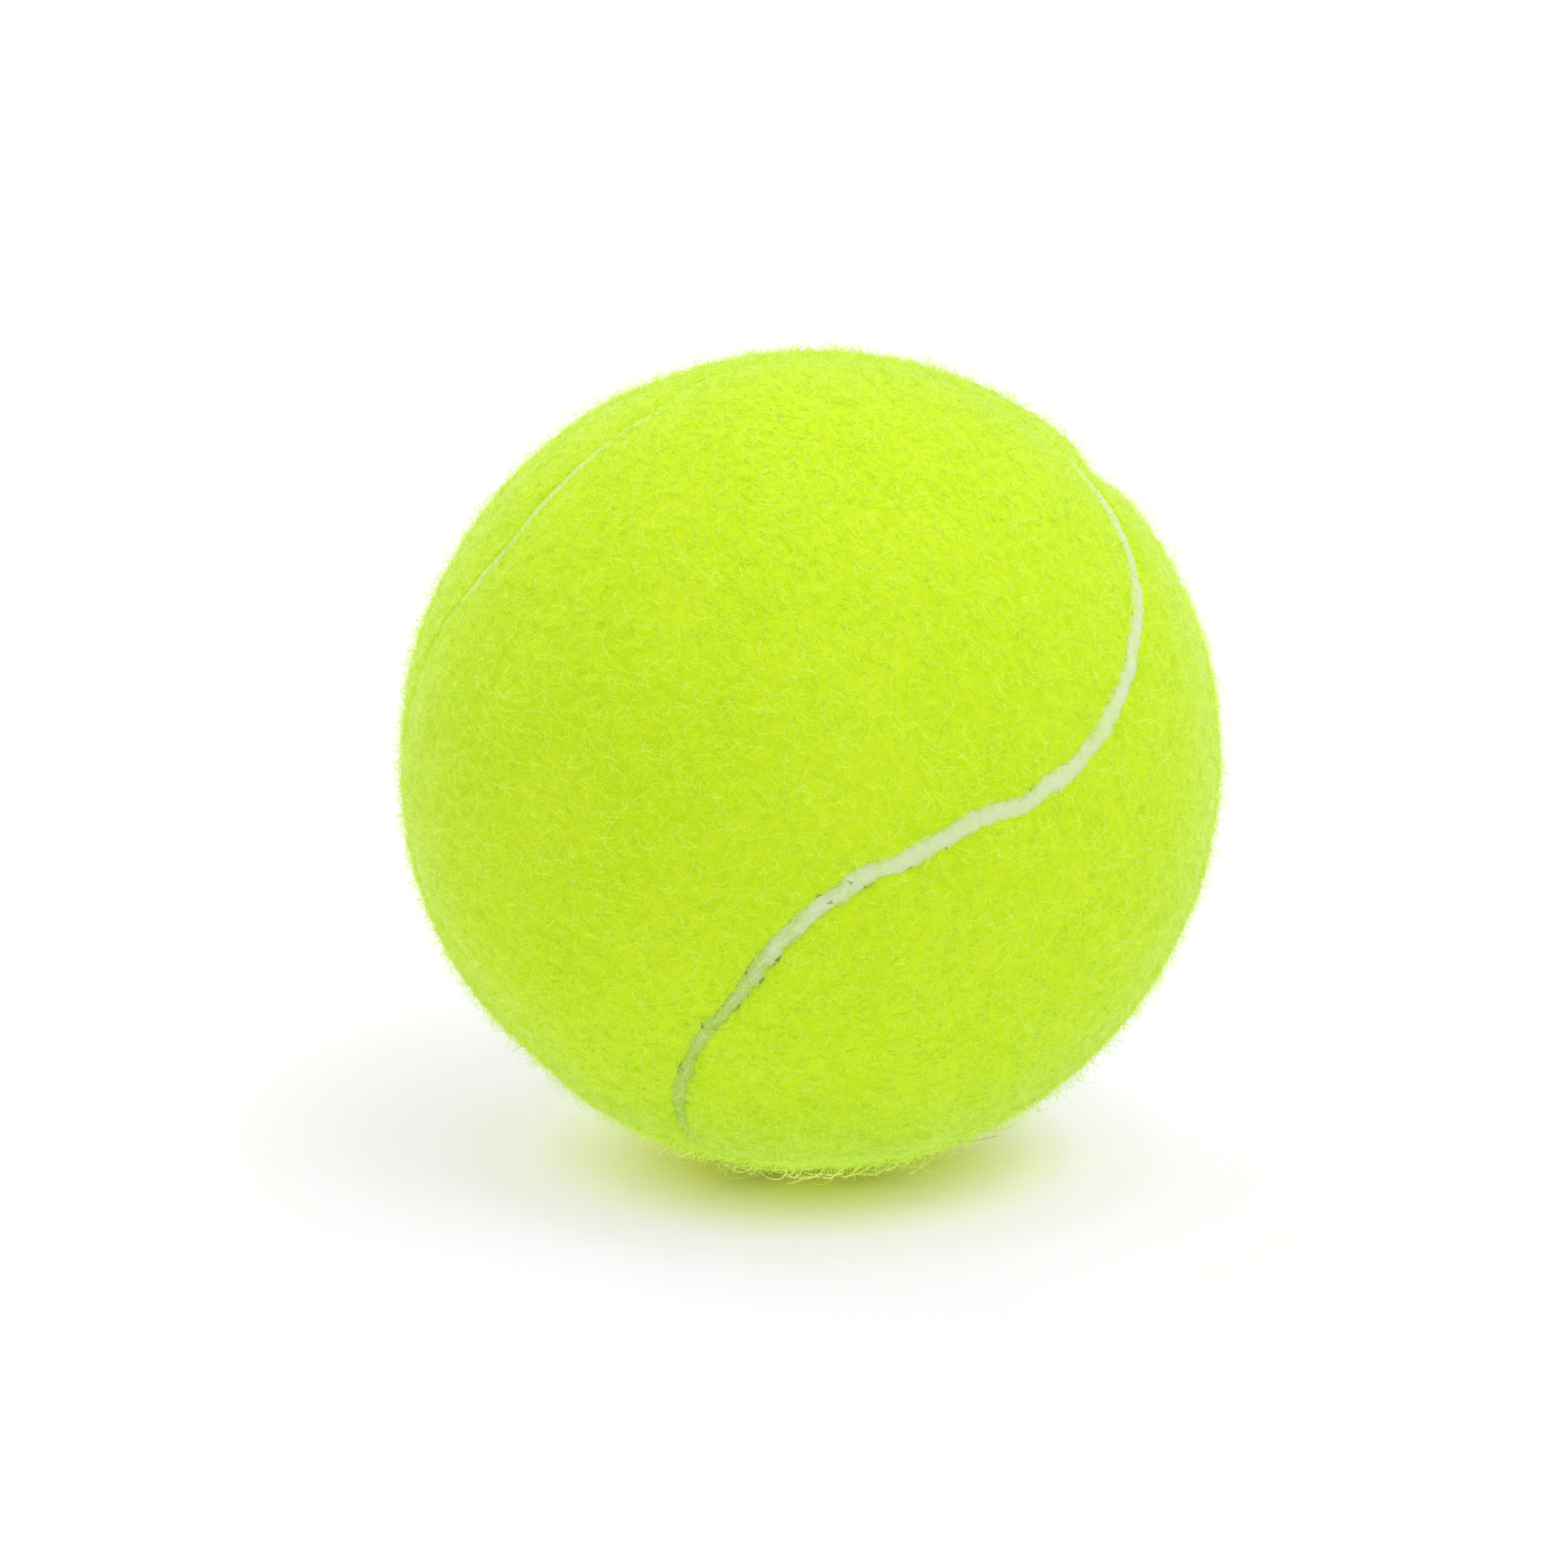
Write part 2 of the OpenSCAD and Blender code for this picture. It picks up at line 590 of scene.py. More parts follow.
@dataclass(frozen=True)
class MouldedRubber:
    """Matt moulded rubber with filler grain and faint flow marks."""

    body: Colour = (0.27, 0.25, 0.22)
    bloom: Colour = (0.40, 0.38, 0.34)
    grit: float = 0.4 * MM
    flow: float = 11.0 * MM
    relief: float = 0.08 * MM
    roughness: tuple[float, float] = (0.62, 0.85)

    def make(self) -> bpy.types.Material:
        """Builds the material."""
        shader = Shader(Slot.RUBBER.value)
        grit = shader.grain(self.grit, 3.0)
        flow = shader.grain(self.flow, 3.0)
        colour = shader.mix(shader.ease(flow, 0.4, 0.75) * 0.7, self.body, self.bloom)
        colour = shader.mix(shader.ease(grit, 0.6, 0.8) * 0.4, colour, self.bloom)
        return shader.principled({
            "Base Color": colour,
            "Roughness": shader.ease(flow, 0.3, 0.7, *self.roughness),
            "Specular IOR Level": 0.35,
            "Normal": shader.bump(grit, self.relief),
        })


@dataclass(frozen=True)
class RubberCement:
    """A brushed film of cured rubber cement, with streaks and small bubbles."""

    name: str
    film: Colour
    thick: Colour
    streak: float = 5.0 * MM
    bubble: float = 0.6 * MM
    relief: float = 0.1 * MM
    drawn: tuple[float, float, float] = (1.0, 1.0, 6.0)
    roughness: tuple[float, float] = (0.38, 0.6)

    def make(self) -> bpy.types.Material:
        """Builds the material."""
        shader = Shader(self.name)
        stretched = shader.wire("ShaderNodeMapping", 0, {0: shader.place, "Scale": self.drawn})
        streaks = shader.grain(self.streak, 3.0, stretched)
        bubbles = shader.ease(shader.grain(self.bubble, 1.0), 0.62, 0.72)
        colour = shader.mix(shader.ease(streaks, 0.3, 0.7), self.film, self.thick)
        height = streaks * 0.6 + bubbles * 0.4
        return shader.principled({
            "Base Color": colour,
            "Roughness": shader.ease(streaks, 0.3, 0.7, *self.roughness),
            "Specular IOR Level": 0.45,
            "Normal": shader.bump(height, self.relief),
        })


@dataclass(frozen=True)
class PaleFloor:
    """A white light table that keeps the ball's shadow. To the camera its colour changes with the distance
    from the ball's axis: painted shadow close to the ball, and painted light, most in blue, in a ring around
    it.

    Distances from the ball's axis are shares of the reach. The extra glow under the ball fades between two of
    them.
    """

    bounce: Colour = (0.97, 0.97, 0.96)
    glow: float = 0.05
    glow_under: float = 0.53
    fade: tuple[float, float] = (0.15, 0.45)
    reach: float = 64.0 * MM
    brightest: float = 2.5
    # The painted shadow and light that the camera sees, as factors on the real light, by the distance from
    # the ball's axis
    lift: tuple[tuple[float, Colour], ...] = (
        (0.06, (0.40, 0.31, 0.18)),
        (0.16, (0.80, 0.67, 0.75)),
        (0.22, (1.08, 0.90, 1.38)),
        (0.30, (1.38, 1.16, 2.08)),
        (0.35, (1.40, 1.19, 2.15)),
        (0.42, (1.24, 1.09, 1.66)),
        (0.56, (1.08, 0.99, 1.28)),
        (0.70, (1.00, 0.96, 1.10)),
        (1.00, (1.03, 1.03, 1.05)),
    )

    def make(self) -> bpy.types.Material:
        """Builds the material."""
        shader = Shader("pale_floor")
        flat = shader.maths("MULTIPLY", shader.place, (1.0, 1.0, 0.0))
        away = shader.wire("ShaderNodeVectorMath", "Value", {0: flat}, operation="LENGTH") / self.reach
        stops = [(share, tuple(part / self.brightest for part in colour)) for share, colour in self.lift]
        # Painted shadow and light, seen by the camera only
        lift = shader.wire("ShaderNodeValToRGB", "Color", {"Fac": away}, stops=stops)
        direct = shader.background_rays()
        colour = shader.mix(direct, self.bounce, lift * self.brightest)
        diffuse = shader.wire("ShaderNodeBsdfDiffuse", 0, {"Color": colour})
        level = shader.ease(away, *self.fade, self.glow + self.glow_under, self.glow)
        glow = shader.wire("ShaderNodeEmission", 0, {"Color": self.bounce, "Strength": (1 - direct) * level})
        table = shader.wire("ShaderNodeAddShader", 0, {0: diffuse, 1: glow})
        shader.node("ShaderNodeOutputMaterial", {"Surface": table})
        return shader.material


# The seam line


@dataclass(frozen=True)
class Stretch:
    """A stretch of the seam that differs from the rest. It fades out over its reach, which is in metres."""

    station_degrees: float
    reach: float
    amount: float

    def at(self, stations: Array, radius: float) -> Array:
        """Gives the difference.

        Args:
            stations: Stations along the seam, in radians.
            radius: The seam's radius in metres.

        Returns:
            The amount at each station, full at the middle of the stretch.
        """
        turn = np.angle(np.exp(1j * (stations - math.radians(self.station_degrees))))
        return self.amount * np.exp(-((turn * radius * SEAM_TURNS / self.reach) ** 2))


@dataclass(frozen=True)
class Nick:
    """A small gap in a panel's edge, where the strip is darkened with painted shade."""

    panel: Panel
    stretch: Stretch


@dataclass(frozen=True)
class Dent:
    """A hollow in the felt, about a direction from the ball's centre. The sizes are in metres.

    It is so many times as long as it is wide, along the line of sight of the picture, so that it shows at the
    outline.
    """

    towards: tuple[float, float, float]
    reach: float
    depth: float
    length_share: float = 1.0

    def at(self, directions: Array, radius: float) -> Array:
        """Gives the hollow's depth.

        Args:
            directions: Unit vectors in the row frame.
            radius: The ball's radius in metres.

        Returns:
            Depths in metres.
        """
        offset = (directions - unit(np.array(self.towards))) * radius
        along = offset @ np.array(SIGHT)
        across = np.linalg.norm(offset - np.outer(along, SIGHT), axis=1)
        wide, long = across / self.reach, along / self.reach / self.length_share
        return self.depth * np.exp(-(wide ** 2) - long ** 2)


@dataclass(frozen=True)
class Ripple:
    """Random waviness round the seam: waves per turn from low to high, and their usual height in metres."""

    low: int
    high: int
    height: float
    seed: int
    waves: int = 24

    def at(self, stations: Array) -> Array:
        """Gives the waviness.

        Args:
            stations: Stations along the seam, in radians.

        Returns:
            Heights in metres.
        """
        rng = np.random.default_rng(self.seed)
        total = np.zeros_like(stations)
        counts = rng.integers(self.low, self.high + 1, self.waves)
        phases = rng.uniform(0, 2 * np.pi, self.waves)
        for count, phase in zip(counts, phases):
            total += np.cos(count * stations + phase)
        return total * self.height * math.sqrt(2 / self.waves)


@dataclass(frozen=True)
class SeamLine:
    """The closed line between the panels, a wave of four crests drawn onto the ball.

    The closest point to a direction is found first among so many samples, for one batch of directions after
    another, and is then refined, each time with a step that is so many times finer.
    """

    lobe_share: float = 0.27
    waist_share: float = 0.61
    turn_degrees: tuple[float, float, float] = (-15.0, 67.0, 11.0)
    radius: float = 32.9 * MM
    samples: int = 1440
    batch: int = 8192
    refinements: int = 2
    finer: float = 4.0
    least_bend: float = 1e-12
    bends: tuple[Stretch, ...] = ()
    wander: Ripple = Ripple(6, 22, 0.05 * MM, 11)

    @property
    def turn(self) -> Array:
        """The matrix that turns the cover to the way it lies on the ball."""
        x, y, z = np.radians(self.turn_degrees)
        about_x = np.array([[1, 0, 0], [0, math.cos(x), -math.sin(x)], [0, math.sin(x), math.cos(x)]])
        about_y = np.array([[math.cos(y), 0, math.sin(y)], [0, 1, 0], [-math.sin(y), 0, math.cos(y)]])
        about_z = np.array([[math.cos(z), -math.sin(z), 0], [math.sin(z), math.cos(z), 0], [0, 0, 1]])
        return about_z @ about_y @ about_x

    def frames(self, stations: Array) -> tuple[Array, Array]:
        """Gives the line's own directions, in the seam's own frame.

        Args:
            stations: Stations in radians.

        Returns:
            The directions from the ball's centre, and across the line towards panel a.
        """
        lobe, waist = self.lobe_share, self.waist_share
        wave = np.stack([
            (1 - lobe) * np.cos(stations) + lobe * np.cos(3 * stations),
            (1 - lobe) * np.sin(stations) - lobe * np.sin(3 * stations),
            waist * np.sin(2 * stations),
        ], axis=-1)
        slope = np.stack([
            (lobe - 1) * np.sin(stations) - 3 * lobe * np.sin(3 * stations),
            (1 - lobe) * np.cos(stations) - 3 * lobe * np.cos(3 * stations),
            2 * waist * np.cos(2 * stations),
        ], axis=-1)
        return unit(wave), unit(np.cross(wave, slope))

    def beside(self, stations: Array, side: Array) -> Array:
        """Gives directions to points beside the line.

        Args:
            stations: Stations in radians.
            side: Distances towards panel a, in metres.

        Returns:
            Unit vectors in the seam's own frame.
        """
        out, across = self.frames(stations)
        angle = np.asarray(side)[..., None] / self.radius
        return out * np.cos(angle) + across * np.sin(angle)

    def nearest(self, directions: Array) -> tuple[Array, Array]:
        """Finds the closest point of the line for each direction.

        Args:
            directions: Unit vectors in the seam's own frame.

        Returns:
            The stations in radians, and the distances towards panel a in metres.
        """
        ring = np.linspace(0, 2 * np.pi, self.samples, endpoint=False)
        out, _ = self.frames(ring)
        stations = np.empty(len(directions))
        for start in range(0, len(directions), self.batch):
            chosen = slice(start, start + self.batch)
            stations[chosen] = ring[np.argmax(directions[chosen] @ out.T, axis=1)]
        step = 2 * np.pi / self.samples
        for _ in range(self.refinements):
            # The top of the parabola through the point and its neighbours on both sides
            before, after = self.frames(stations - step)[0], self.frames(stations + step)[0]
            here = self.frames(stations)[0]
            low, mid, high = ((directions * x).sum(1) for x in (before, here, after))
            bend = low - 2 * mid + high
            curved = np.abs(bend) > self.least_bend
            move = np.where(curved, 0.5 * (low - high) / np.where(bend == 0, 1, bend), 0)
            stations = stations + step * np.clip(move, -1, 1)
            step /= self.finer
        _, across = self.frames(stations)
        sine = np.clip((directions * across).sum(1), -1, 1)
        return stations, np.arcsin(sine) * self.radius

    def stray(self, stations: Array) -> Array:
        """Gives how far the real seam lies from the ideal line.

        Args:
            stations: Stations in radians.

        Returns:
            Distances towards panel a in metres.
        """
        total = self.wander.at(stations)
        for bend in self.bends:
            total += bend.at(stations, self.radius)
        return total


# Meshes


def plain_mesh(name: str, points: Array, faces: list, finish: bpy.types.Material) -> bpy.types.Object:
    """Makes an object from points and faces, smooth shaded, with one material.

    Args:
        name: The object's name.
        points: Vertices in metres.
        faces: Lists of vertex numbers.
        finish: The material.

    Returns:
        The new object.
    """
    mesh = bpy.data.meshes.new(name)
    mesh.from_pydata(points.tolist(), [], faces)
    mesh.materials.append(finish)
    mesh.polygons.foreach_set("use_smooth", np.ones(len(mesh.polygons), bool))
    mesh.update()
    piece = bpy.data.objects.new(name, mesh)
    bpy.context.scene.collection.objects.link(piece)
    return piece


def carry(piece: bpy.types.Object, name: str, values: Array, kind: str = "FLOAT") -> None:
    """Stores a number with each vertex of a piece.

    Args:
        piece: The piece.
        name: The attribute's name.
        values: One number for each vertex, or three in a row for a vector.
        kind: The attribute's data type.
    """
    attribute = piece.data.attributes.new(name, kind, "POINT")
    attribute.data.foreach_set("vector" if kind == "FLOAT_VECTOR" else "value", values)


def draw_map(mesh: bpy.types.Mesh, name: str, places: Array) -> None:
    """Gives a mesh a flat map.

    Args:
        mesh: The mesh.
        name: The map's name.
        places: The place of each vertex on the map.
    """
    corners = np.empty(len(mesh.loops), np.int32)
    mesh.loops.foreach_get("vertex_index", corners)
    layer = mesh.uv_layers.new(name=name)
    layer.uv.foreach_set("vector", places[corners].astype(np.float32).ravel())


def outward(piece: bpy.types.Object) -> None:
    """Turns a closed mesh right side out where its volume comes out negative.

    Args:
        piece: The piece, a closed mesh.
    """
    mesh = piece.data
    mesh.calc_loop_triangles()
    corners = np.empty(3 * len(mesh.loop_triangles), np.int32)
    mesh.loop_triangles.foreach_get("vertices", corners)
    a, b, c = vertex_points(mesh)[corners.reshape(-1, 3)].transpose(1, 0, 2)
    if (a * np.cross(b, c)).sum() < 0:
        mesh.flip_normals()


@dataclass(frozen=True)
class PanelGrid:
    """Rows across one panel. Each joins a station of the seam to its mirror image over the panel's long axis.

    The crowding draws the columns towards the edges. The margin is how far inside the seam the grid ends, in
    metres.
    """

    rows: int
    columns: int
    crowding: float
    margin: float

    def directions(self, seam: SeamLine, panel: Panel) -> Array:
        """Lays out the grid's points.

        Args:
            seam: The seam line.
            panel: The panel.

        Returns:
            Unit vectors in the seam's own frame, by row and column. Each end row is a single point.
        """
        turn = np.linspace(0, np.pi, self.rows + 1)
        end = math.radians(PANEL_END_DEGREES)
        side = np.full(self.rows + 1, self.margin)
        left, right = seam.beside(end + turn, side), seam.beside(end - turn, side)
        share = np.linspace(0, 1, self.columns + 1)
        share = share - self.crowding / (2 * np.pi) * np.sin(2 * np.pi * share)
        least_angle = 1e-9
        angle = np.maximum(np.arccos(np.clip((left * right).sum(1), -1, 1)), least_angle)[:, None, None]
        weight = share[None, :, None]
        grid = np.sin((1 - weight) * angle) * left[:, None] + np.sin(weight * angle) * right[:, None]
        grid = unit(grid / np.sin(angle))
        return grid * (1, panel.value, panel.value)

    def numbers(self) -> Array:
        """Numbers the grid's vertices, where each end row is one vertex.

        Returns:
            The vertex number of each row and column.
        """
        inner = np.arange((self.rows - 1) * (self.columns + 1)).reshape(self.rows - 1, -1) + 1
        top = np.zeros((1, self.columns + 1), int)
        last = np.full((1, self.columns + 1), inner[-1, -1] + 1)
        return np.concatenate([top, inner, last])

    def flat_points(self, values: Array) -> Array:
        """Takes one value for each vertex from values by row and column."""
        inner = values[1:-1].reshape(-1, *values.shape[2:])
        return np.concatenate([values[:1, 0], inner, values[-1:, 0]])

    def faces(self) -> list:
        """Lists the grid's faces: quads, and triangles at both ends."""
        number = self.numbers()
        corners = np.stack([number[:-1, :-1], number[1:, :-1], number[1:, 1:], number[:-1, 1:]], axis=-1)
        first = corners[0][:, [0, 1, 2]].tolist()
        last = corners[-1][:, [0, 1, 3]].tolist()
        return first + corners[1:-1].reshape(-1, 4).tolist() + last

    def rim(self) -> Array:
        """Gives the vertex numbers round the panel's edge, in order."""
        number = self.numbers()
        return np.concatenate([number[:, 0], number[-2:0:-1, -1]])

    def shell(self, under: "PanelGrid") -> list:
        """Lists the faces of a closed shell: this grid, another one below it, and a wall between their rims.

        Args:
            under: The grid below, with as many rows. Its vertices follow those of this grid.

        Returns:
            Lists of vertex numbers.
        """
        count = int(self.numbers()[-1, -1]) + 1
        below = [[count + n for n in reversed(face)] for face in under.faces()]
        outer, inner = self.rim(), under.rim() + count
        after = np.roll(np.arange(len(outer)), -1)
        wall = np.stack([outer[after], outer, inner, inner[after]], axis=-1).tolist()
        return self.faces() + below + wall


# The cover


@dataclass
class Cover:
    """The felt cover: two panels, each a base cloth with its raised nap, and the cement seam between them.

    The felt follows the real seam over the bend's reach, and its own ragged edge over the edge's reach. The
    lip rises from the strip in a round of the given powers, and the shoulder is the shallow rise after it to
    the full height. The lumps are pairs of a size and a height.
    """

    seam: SeamLine
    ball_radius: float
    base_radius: float
    coat_radius: float
    # The strip, which tucks under both naps. Its streaks are drawn round a circle of their own
    seam_width: float = 1.5 * MM
    seam_crown: float = 0.15 * MM
    strip_tuck: float = 0.2 * MM
    strip_stations: int = 1200
    strip_columns: int = 13
    strip_lumps: Ripple = Ripple(60, 150, 0.05 * MM, 41)
    streak_radius: float = 10.0 * MM
    # The panels' edges, where panel b has seeds of its own
    bend_reach: float = 4.5 * MM
    edge_reach: float = 1.6 * MM
    edge_ripples: tuple[Ripple, ...] = (
        Ripple(28, 60, 0.08 * MM, 21),
        Ripple(90, 190, 0.05 * MM, 22),
        Ripple(190, 330, 0.04 * MM, 23, 40),
    )
    second_edge_seeds: int = 10
    # The nap's surface, which lies so far under the fibres' tops and over the floor
    fuzz: float = 0.18 * MM
    lip_reach: float = 0.55 * MM
    lip_sink: float = 0.15 * MM
    lip_powers: tuple[float, float] = (2.2, 0.6)
    shoulder_reach: float = 2.8 * MM
    shoulder_drop: float = 0.14 * MM
    lump_sizes: tuple[tuple[float, float], ...] = (
        (11 * MM, 0.17 * MM),
        (3.2 * MM, 0.07 * MM),
        (1.2 * MM, 0.03 * MM),
    )
    lump_shift: float = 17.3
    lump_margin: float = 0.8 * MM
    floor_gap: float = 0.05 * MM
    cloth_gap: float = 0.02 * MM
    # Wear, and painted shade over a stretch of the strip and in its nicks. A nick's painted shade starts at a
    # share of the way from the strip's middle to its edge
    pinches: tuple[Stretch, ...] = ()
    shades_and_stains: tuple[Stretch, ...] = ()
    felted: tuple[Stretch, ...] = ()
    dents: tuple[Dent, ...] = ()
    nicks: tuple[Nick, ...] = ()
    painted_shade_from: float = 0.45
    painted_shade_fade: float = 0.3
    # How much denser the fibres are along the lip, and the grids
    lip_hair: float = 1.4
    lip_hair_reach: float = 0.5 * MM
    nap_grid: PanelGrid = PanelGrid(340, 124, 0.6, 0.8 * MM)
    cloth_grid: PanelGrid = PanelGrid(160, 40, 0.2, 0.8 * MM)
    under_columns: int = 12

    def edge(self, panel: Panel, stations: Array) -> Array:
        """Gives how far a panel's ragged edge lies outside its ideal line.

        Args:
            panel: The panel.
            stations: Stations in radians.

        Returns:
            Distances in metres, positive where the strip is wider.
        """
        shift = 0 if panel is Panel.A else self.second_edge_seeds
        ragged = sum(replace(one, seed=one.seed + shift).at(stations) for one in self.edge_ripples)
        own = [nick.stretch for nick in self.nicks if nick.panel is panel]
        return ragged + sum(one.at(stations, self.seam.radius) for one in (*self.pinches, *own))

    def place_felt(self, panel: Panel, directions: Array) -> tuple[Array, Array]:
        """Moves the panel's points so that its edge is ragged and follows the real seam.

        Args:
            panel: The panel.
            directions: Unit vectors in the seam's own frame.

        Returns:
            The moved unit vectors, and their distance in from the panel's edge in metres.
        """
        stations, side = self.seam.nearest(directions)
        inset = side * panel.value - self.seam_width / 2
        _, across = self.seam.frames(stations)
        near = np.exp(-((inset / self.bend_reach) ** 2))
        close = np.exp(-((inset / self.edge_reach) ** 2))
        shift = self.seam.stray(stations) * near + panel.value * self.edge(panel, stations) * close
        moved = unit(directions + across * (shift / self.seam.radius)[:, None])
        return moved, inset

    def lumps(self, directions: Array) -> Array:
        """Gives the uneven height of teased felt.

        Args:
            directions: Unit vectors in the row frame.

        Returns:
            Heights in metres, about zero.
        """
        total = np.zeros(len(directions))
        for number, (size, height) in enumerate(self.lump_sizes, 1):
            places = directions * (self.ball_radius / size) + self.lump_shift * number
            total += height * np.array([noise.noise(Vector(p)) for p in places])
        for dent in self.dents:
            total -= dent.at(directions, self.ball_radius)
        return total

    def nap_top(self, inset: Array, directions: Array) -> Array:
        """Gives the radius of the nap's surface.

        Args:
            inset: Distances in from the panel's edge, in metres.
            directions: Unit vectors in the row frame.

        Returns:
            Radii in metres.
        """
        full = self.ball_radius - self.fuzz
        low = self.seam.radius - self.lip_sink
        share = np.clip(inset / self.lip_reach, 0, 1)
        inner_power, outer_power = self.lip_powers
        lip = low + (full - self.shoulder_drop - low) * (1 - (1 - share) ** inner_power) ** outer_power
        shoulder = self.shoulder_drop * smooth_step((inset - self.lip_reach) / self.shoulder_reach)
        radius = lip + shoulder + self.lumps(directions) * smooth_step(inset / self.lump_margin)
        floor = self.ball_radius - self.floor_gap
        below = np.maximum(-directions[:, 2], 0)
        near_floor = 0.5
        return np.where(below > near_floor, np.minimum(radius, floor / np.maximum(below, near_floor)), radius)

    def nap(self, panel: Panel, finish: bpy.types.Material) -> bpy.types.Object:
        """Builds a panel's raised nap as a closed shell with rounded lips.

        Args:
            panel: The panel.
            finish: The material.

        Returns:
            The new piece.
        """
        grid = self.nap_grid
        own = grid.flat_points(grid.directions(self.seam, panel))
        moved, inset = self.place_felt(panel, own)
        turned = moved @ self.seam.turn.T
        top = turned * self.nap_top(inset, turned)[:, None]
        under_grid = PanelGrid(grid.rows, self.under_columns, 0.0, grid.margin)
        under_own = under_grid.flat_points(under_grid.directions(self.seam, panel))
        under_moved, _ = self.place_felt(panel, under_own)
        under = under_moved @ self.seam.turn.T * self.base_radius
        points = np.concatenate([top, under])
        piece = plain_mesh(f"nap_{panel.letter}", points, grid.shell(under_grid), finish)
        outward(piece)
        hair = 1 + self.lip_hair * np.exp(-((inset / self.lip_hair_reach) ** 2))
        carry(piece, "nap_density", np.concatenate([hair, np.zeros(len(under))]))
        row = np.concatenate([[0], np.repeat(np.arange(1, grid.rows), grid.columns + 1), [grid.rows]])
        carry(piece, "nap_row", np.concatenate([row / grid.rows, np.full(len(under), -1.0)]))
        return piece

    def strip(self, finish: bpy.types.Material) -> bpy.types.Object:
        """Builds the cement strip, ragged at both edges and crowned in the middle.

        Args:
            finish: The material.

        Returns:
            The new piece.
        """
        stations = np.linspace(0, 2 * np.pi, self.strip_stations, endpoint=False)
        half = self.seam_width / 2
        stray = self.seam.stray(stations)
        low = stray - half - self.edge(Panel.B, stations) - self.strip_tuck
        high = stray + half + self.edge(Panel.A, stations) + self.strip_tuck
        shares = np.linspace(0, 1, self.strip_columns)
        lumps = self.strip_lumps.at(stations)
        circle = [self.streak_radius * np.cos(stations), self.streak_radius * np.sin(stations)]
        # Painted shade mixed with felt tint along one stretch, and felt grown over the strip
        stain = sum(stretch.at(stations, self.seam.radius) for stretch in self.shades_and_stains)
        felted = sum(stretch.at(stations, self.seam.radius) for stretch in self.felted)
        points, edges, dirt, run = [], [], [], []
        # The top from panel b's side to panel a's, and then the underside on the coat back again
        for share in (*shares, 1.0, 0.5, 0.0):
            side = low + (high - low) * share
            top = len(points) < len(shares)
            middle = abs(2 * share - 1)
            rise = self.seam_crown * (1 - middle ** 2) + lumps * (1 - middle)
            radius = self.seam.radius + rise if top else np.full(len(stations), self.coat_radius)
            points.append(self.seam.beside(stations, side) * radius[:, None])
            edges.append(np.full(len(stations), middle if top else 1.0))
            dirt.append(sum(self.nick_dirt(nick, stations, 2 * share - 1) for nick in self.nicks))
            run.append(np.stack([*circle, side], axis=-1))
        rings = len(points)
        number = np.arange(rings * len(stations)).reshape(rings, -1)
        around, along = np.roll(number, -1, axis=0), np.roll(number, -1, axis=1)
        both = np.roll(around, -1, axis=1)
        faces = np.stack([number, along, both, around], axis=-1).reshape(-1, 4).tolist()
        piece = plain_mesh("seam_strip", np.concatenate(points) @ self.seam.turn.T, faces, finish)
        outward(piece)
        carry(piece, "edge", np.concatenate(edges))
        carry(piece, "dirt", np.concatenate(dirt))
        carry(piece, "run", np.concatenate(run).ravel(), "FLOAT_VECTOR")
        carry(piece, "stain", np.tile(stain, rings))
        carry(piece, "felted", np.tile(felted, rings))
        return piece

    def nick_dirt(self, nick: Nick, stations: Array, side_share: float) -> Array:
        """Gives how much painted shade a nick leaves on the strip.

        Args:
            nick: The nick.
            stations: Stations in radians.
            side_share: The place across the strip, from -1 at panel b to 1 at panel a.

        Returns:
            Shares of the full painted shade.
        """
        dirty = nick.stretch.at(stations, self.seam.radius) / nick.stretch.amount
        return dirty * smooth_step((side_share * nick.panel.value - self.painted_shade_from) / self.painted_shade_fade)

    def cloth(self, panel: Panel, finish: bpy.types.Material) -> bpy.types.Object:
        """Builds a panel's base cloth with its own flat map, in metres.

        Args:
            panel: The panel.
            finish: The material.

        Returns:
            The new piece.
        """
        grid = self.cloth_grid
        own = grid.directions(self.seam, panel)
        moved, _ = self.place_felt(panel, grid.flat_points(own))
        turned = moved @ self.seam.turn.T
        points = np.concatenate([turned * (self.base_radius - self.cloth_gap), turned * self.coat_radius])
        piece = plain_mesh(f"base_cloth_{panel.letter}", points, grid.shell(grid), finish)
        step_along = np.linalg.norm(np.diff(own, axis=0), axis=2).mean(1) * self.base_radius
        step_across = np.linalg.norm(np.diff(own, axis=1), axis=2) * self.base_radius
        along = np.repeat(np.concatenate([[0], np.cumsum(step_along)])[:, None], grid.columns + 1, axis=1)
        across = np.concatenate([np.zeros((grid.rows + 1, 1)), np.cumsum(step_across, axis=1)], axis=1)
        across -= across[:, -1:] / 2
        mapped = grid.flat_points(np.stack([across, along], axis=-1))
        draw_map(piece.data, CLOTH_MAP, np.concatenate([mapped, mapped]))
        outward(piece)
        return piece


# Fibres


@dataclass(frozen=True)
class FibreKind:
    """One kind of fibre on the nap. Lengths are in metres, and per_area counts fibres per square metre.

    The roots lie where the depth under the ball's middle, as a share of the floor's depth, is between the two
    shares in under. The more a kind is circling, the more its fibres run round the ball's upright axis. The
    rows are the limits of its pieces along a panel.
    """

    name: str
    per_area: float
    length: float
    width: float
    rise: float
    curl: float
    drop: float
    points: int
    seed: int
    under: tuple[float, float] = (-2.0, 2.0)
    circling: float = 0.0
    rows: tuple[float, ...] = (-0.5, 1.5)


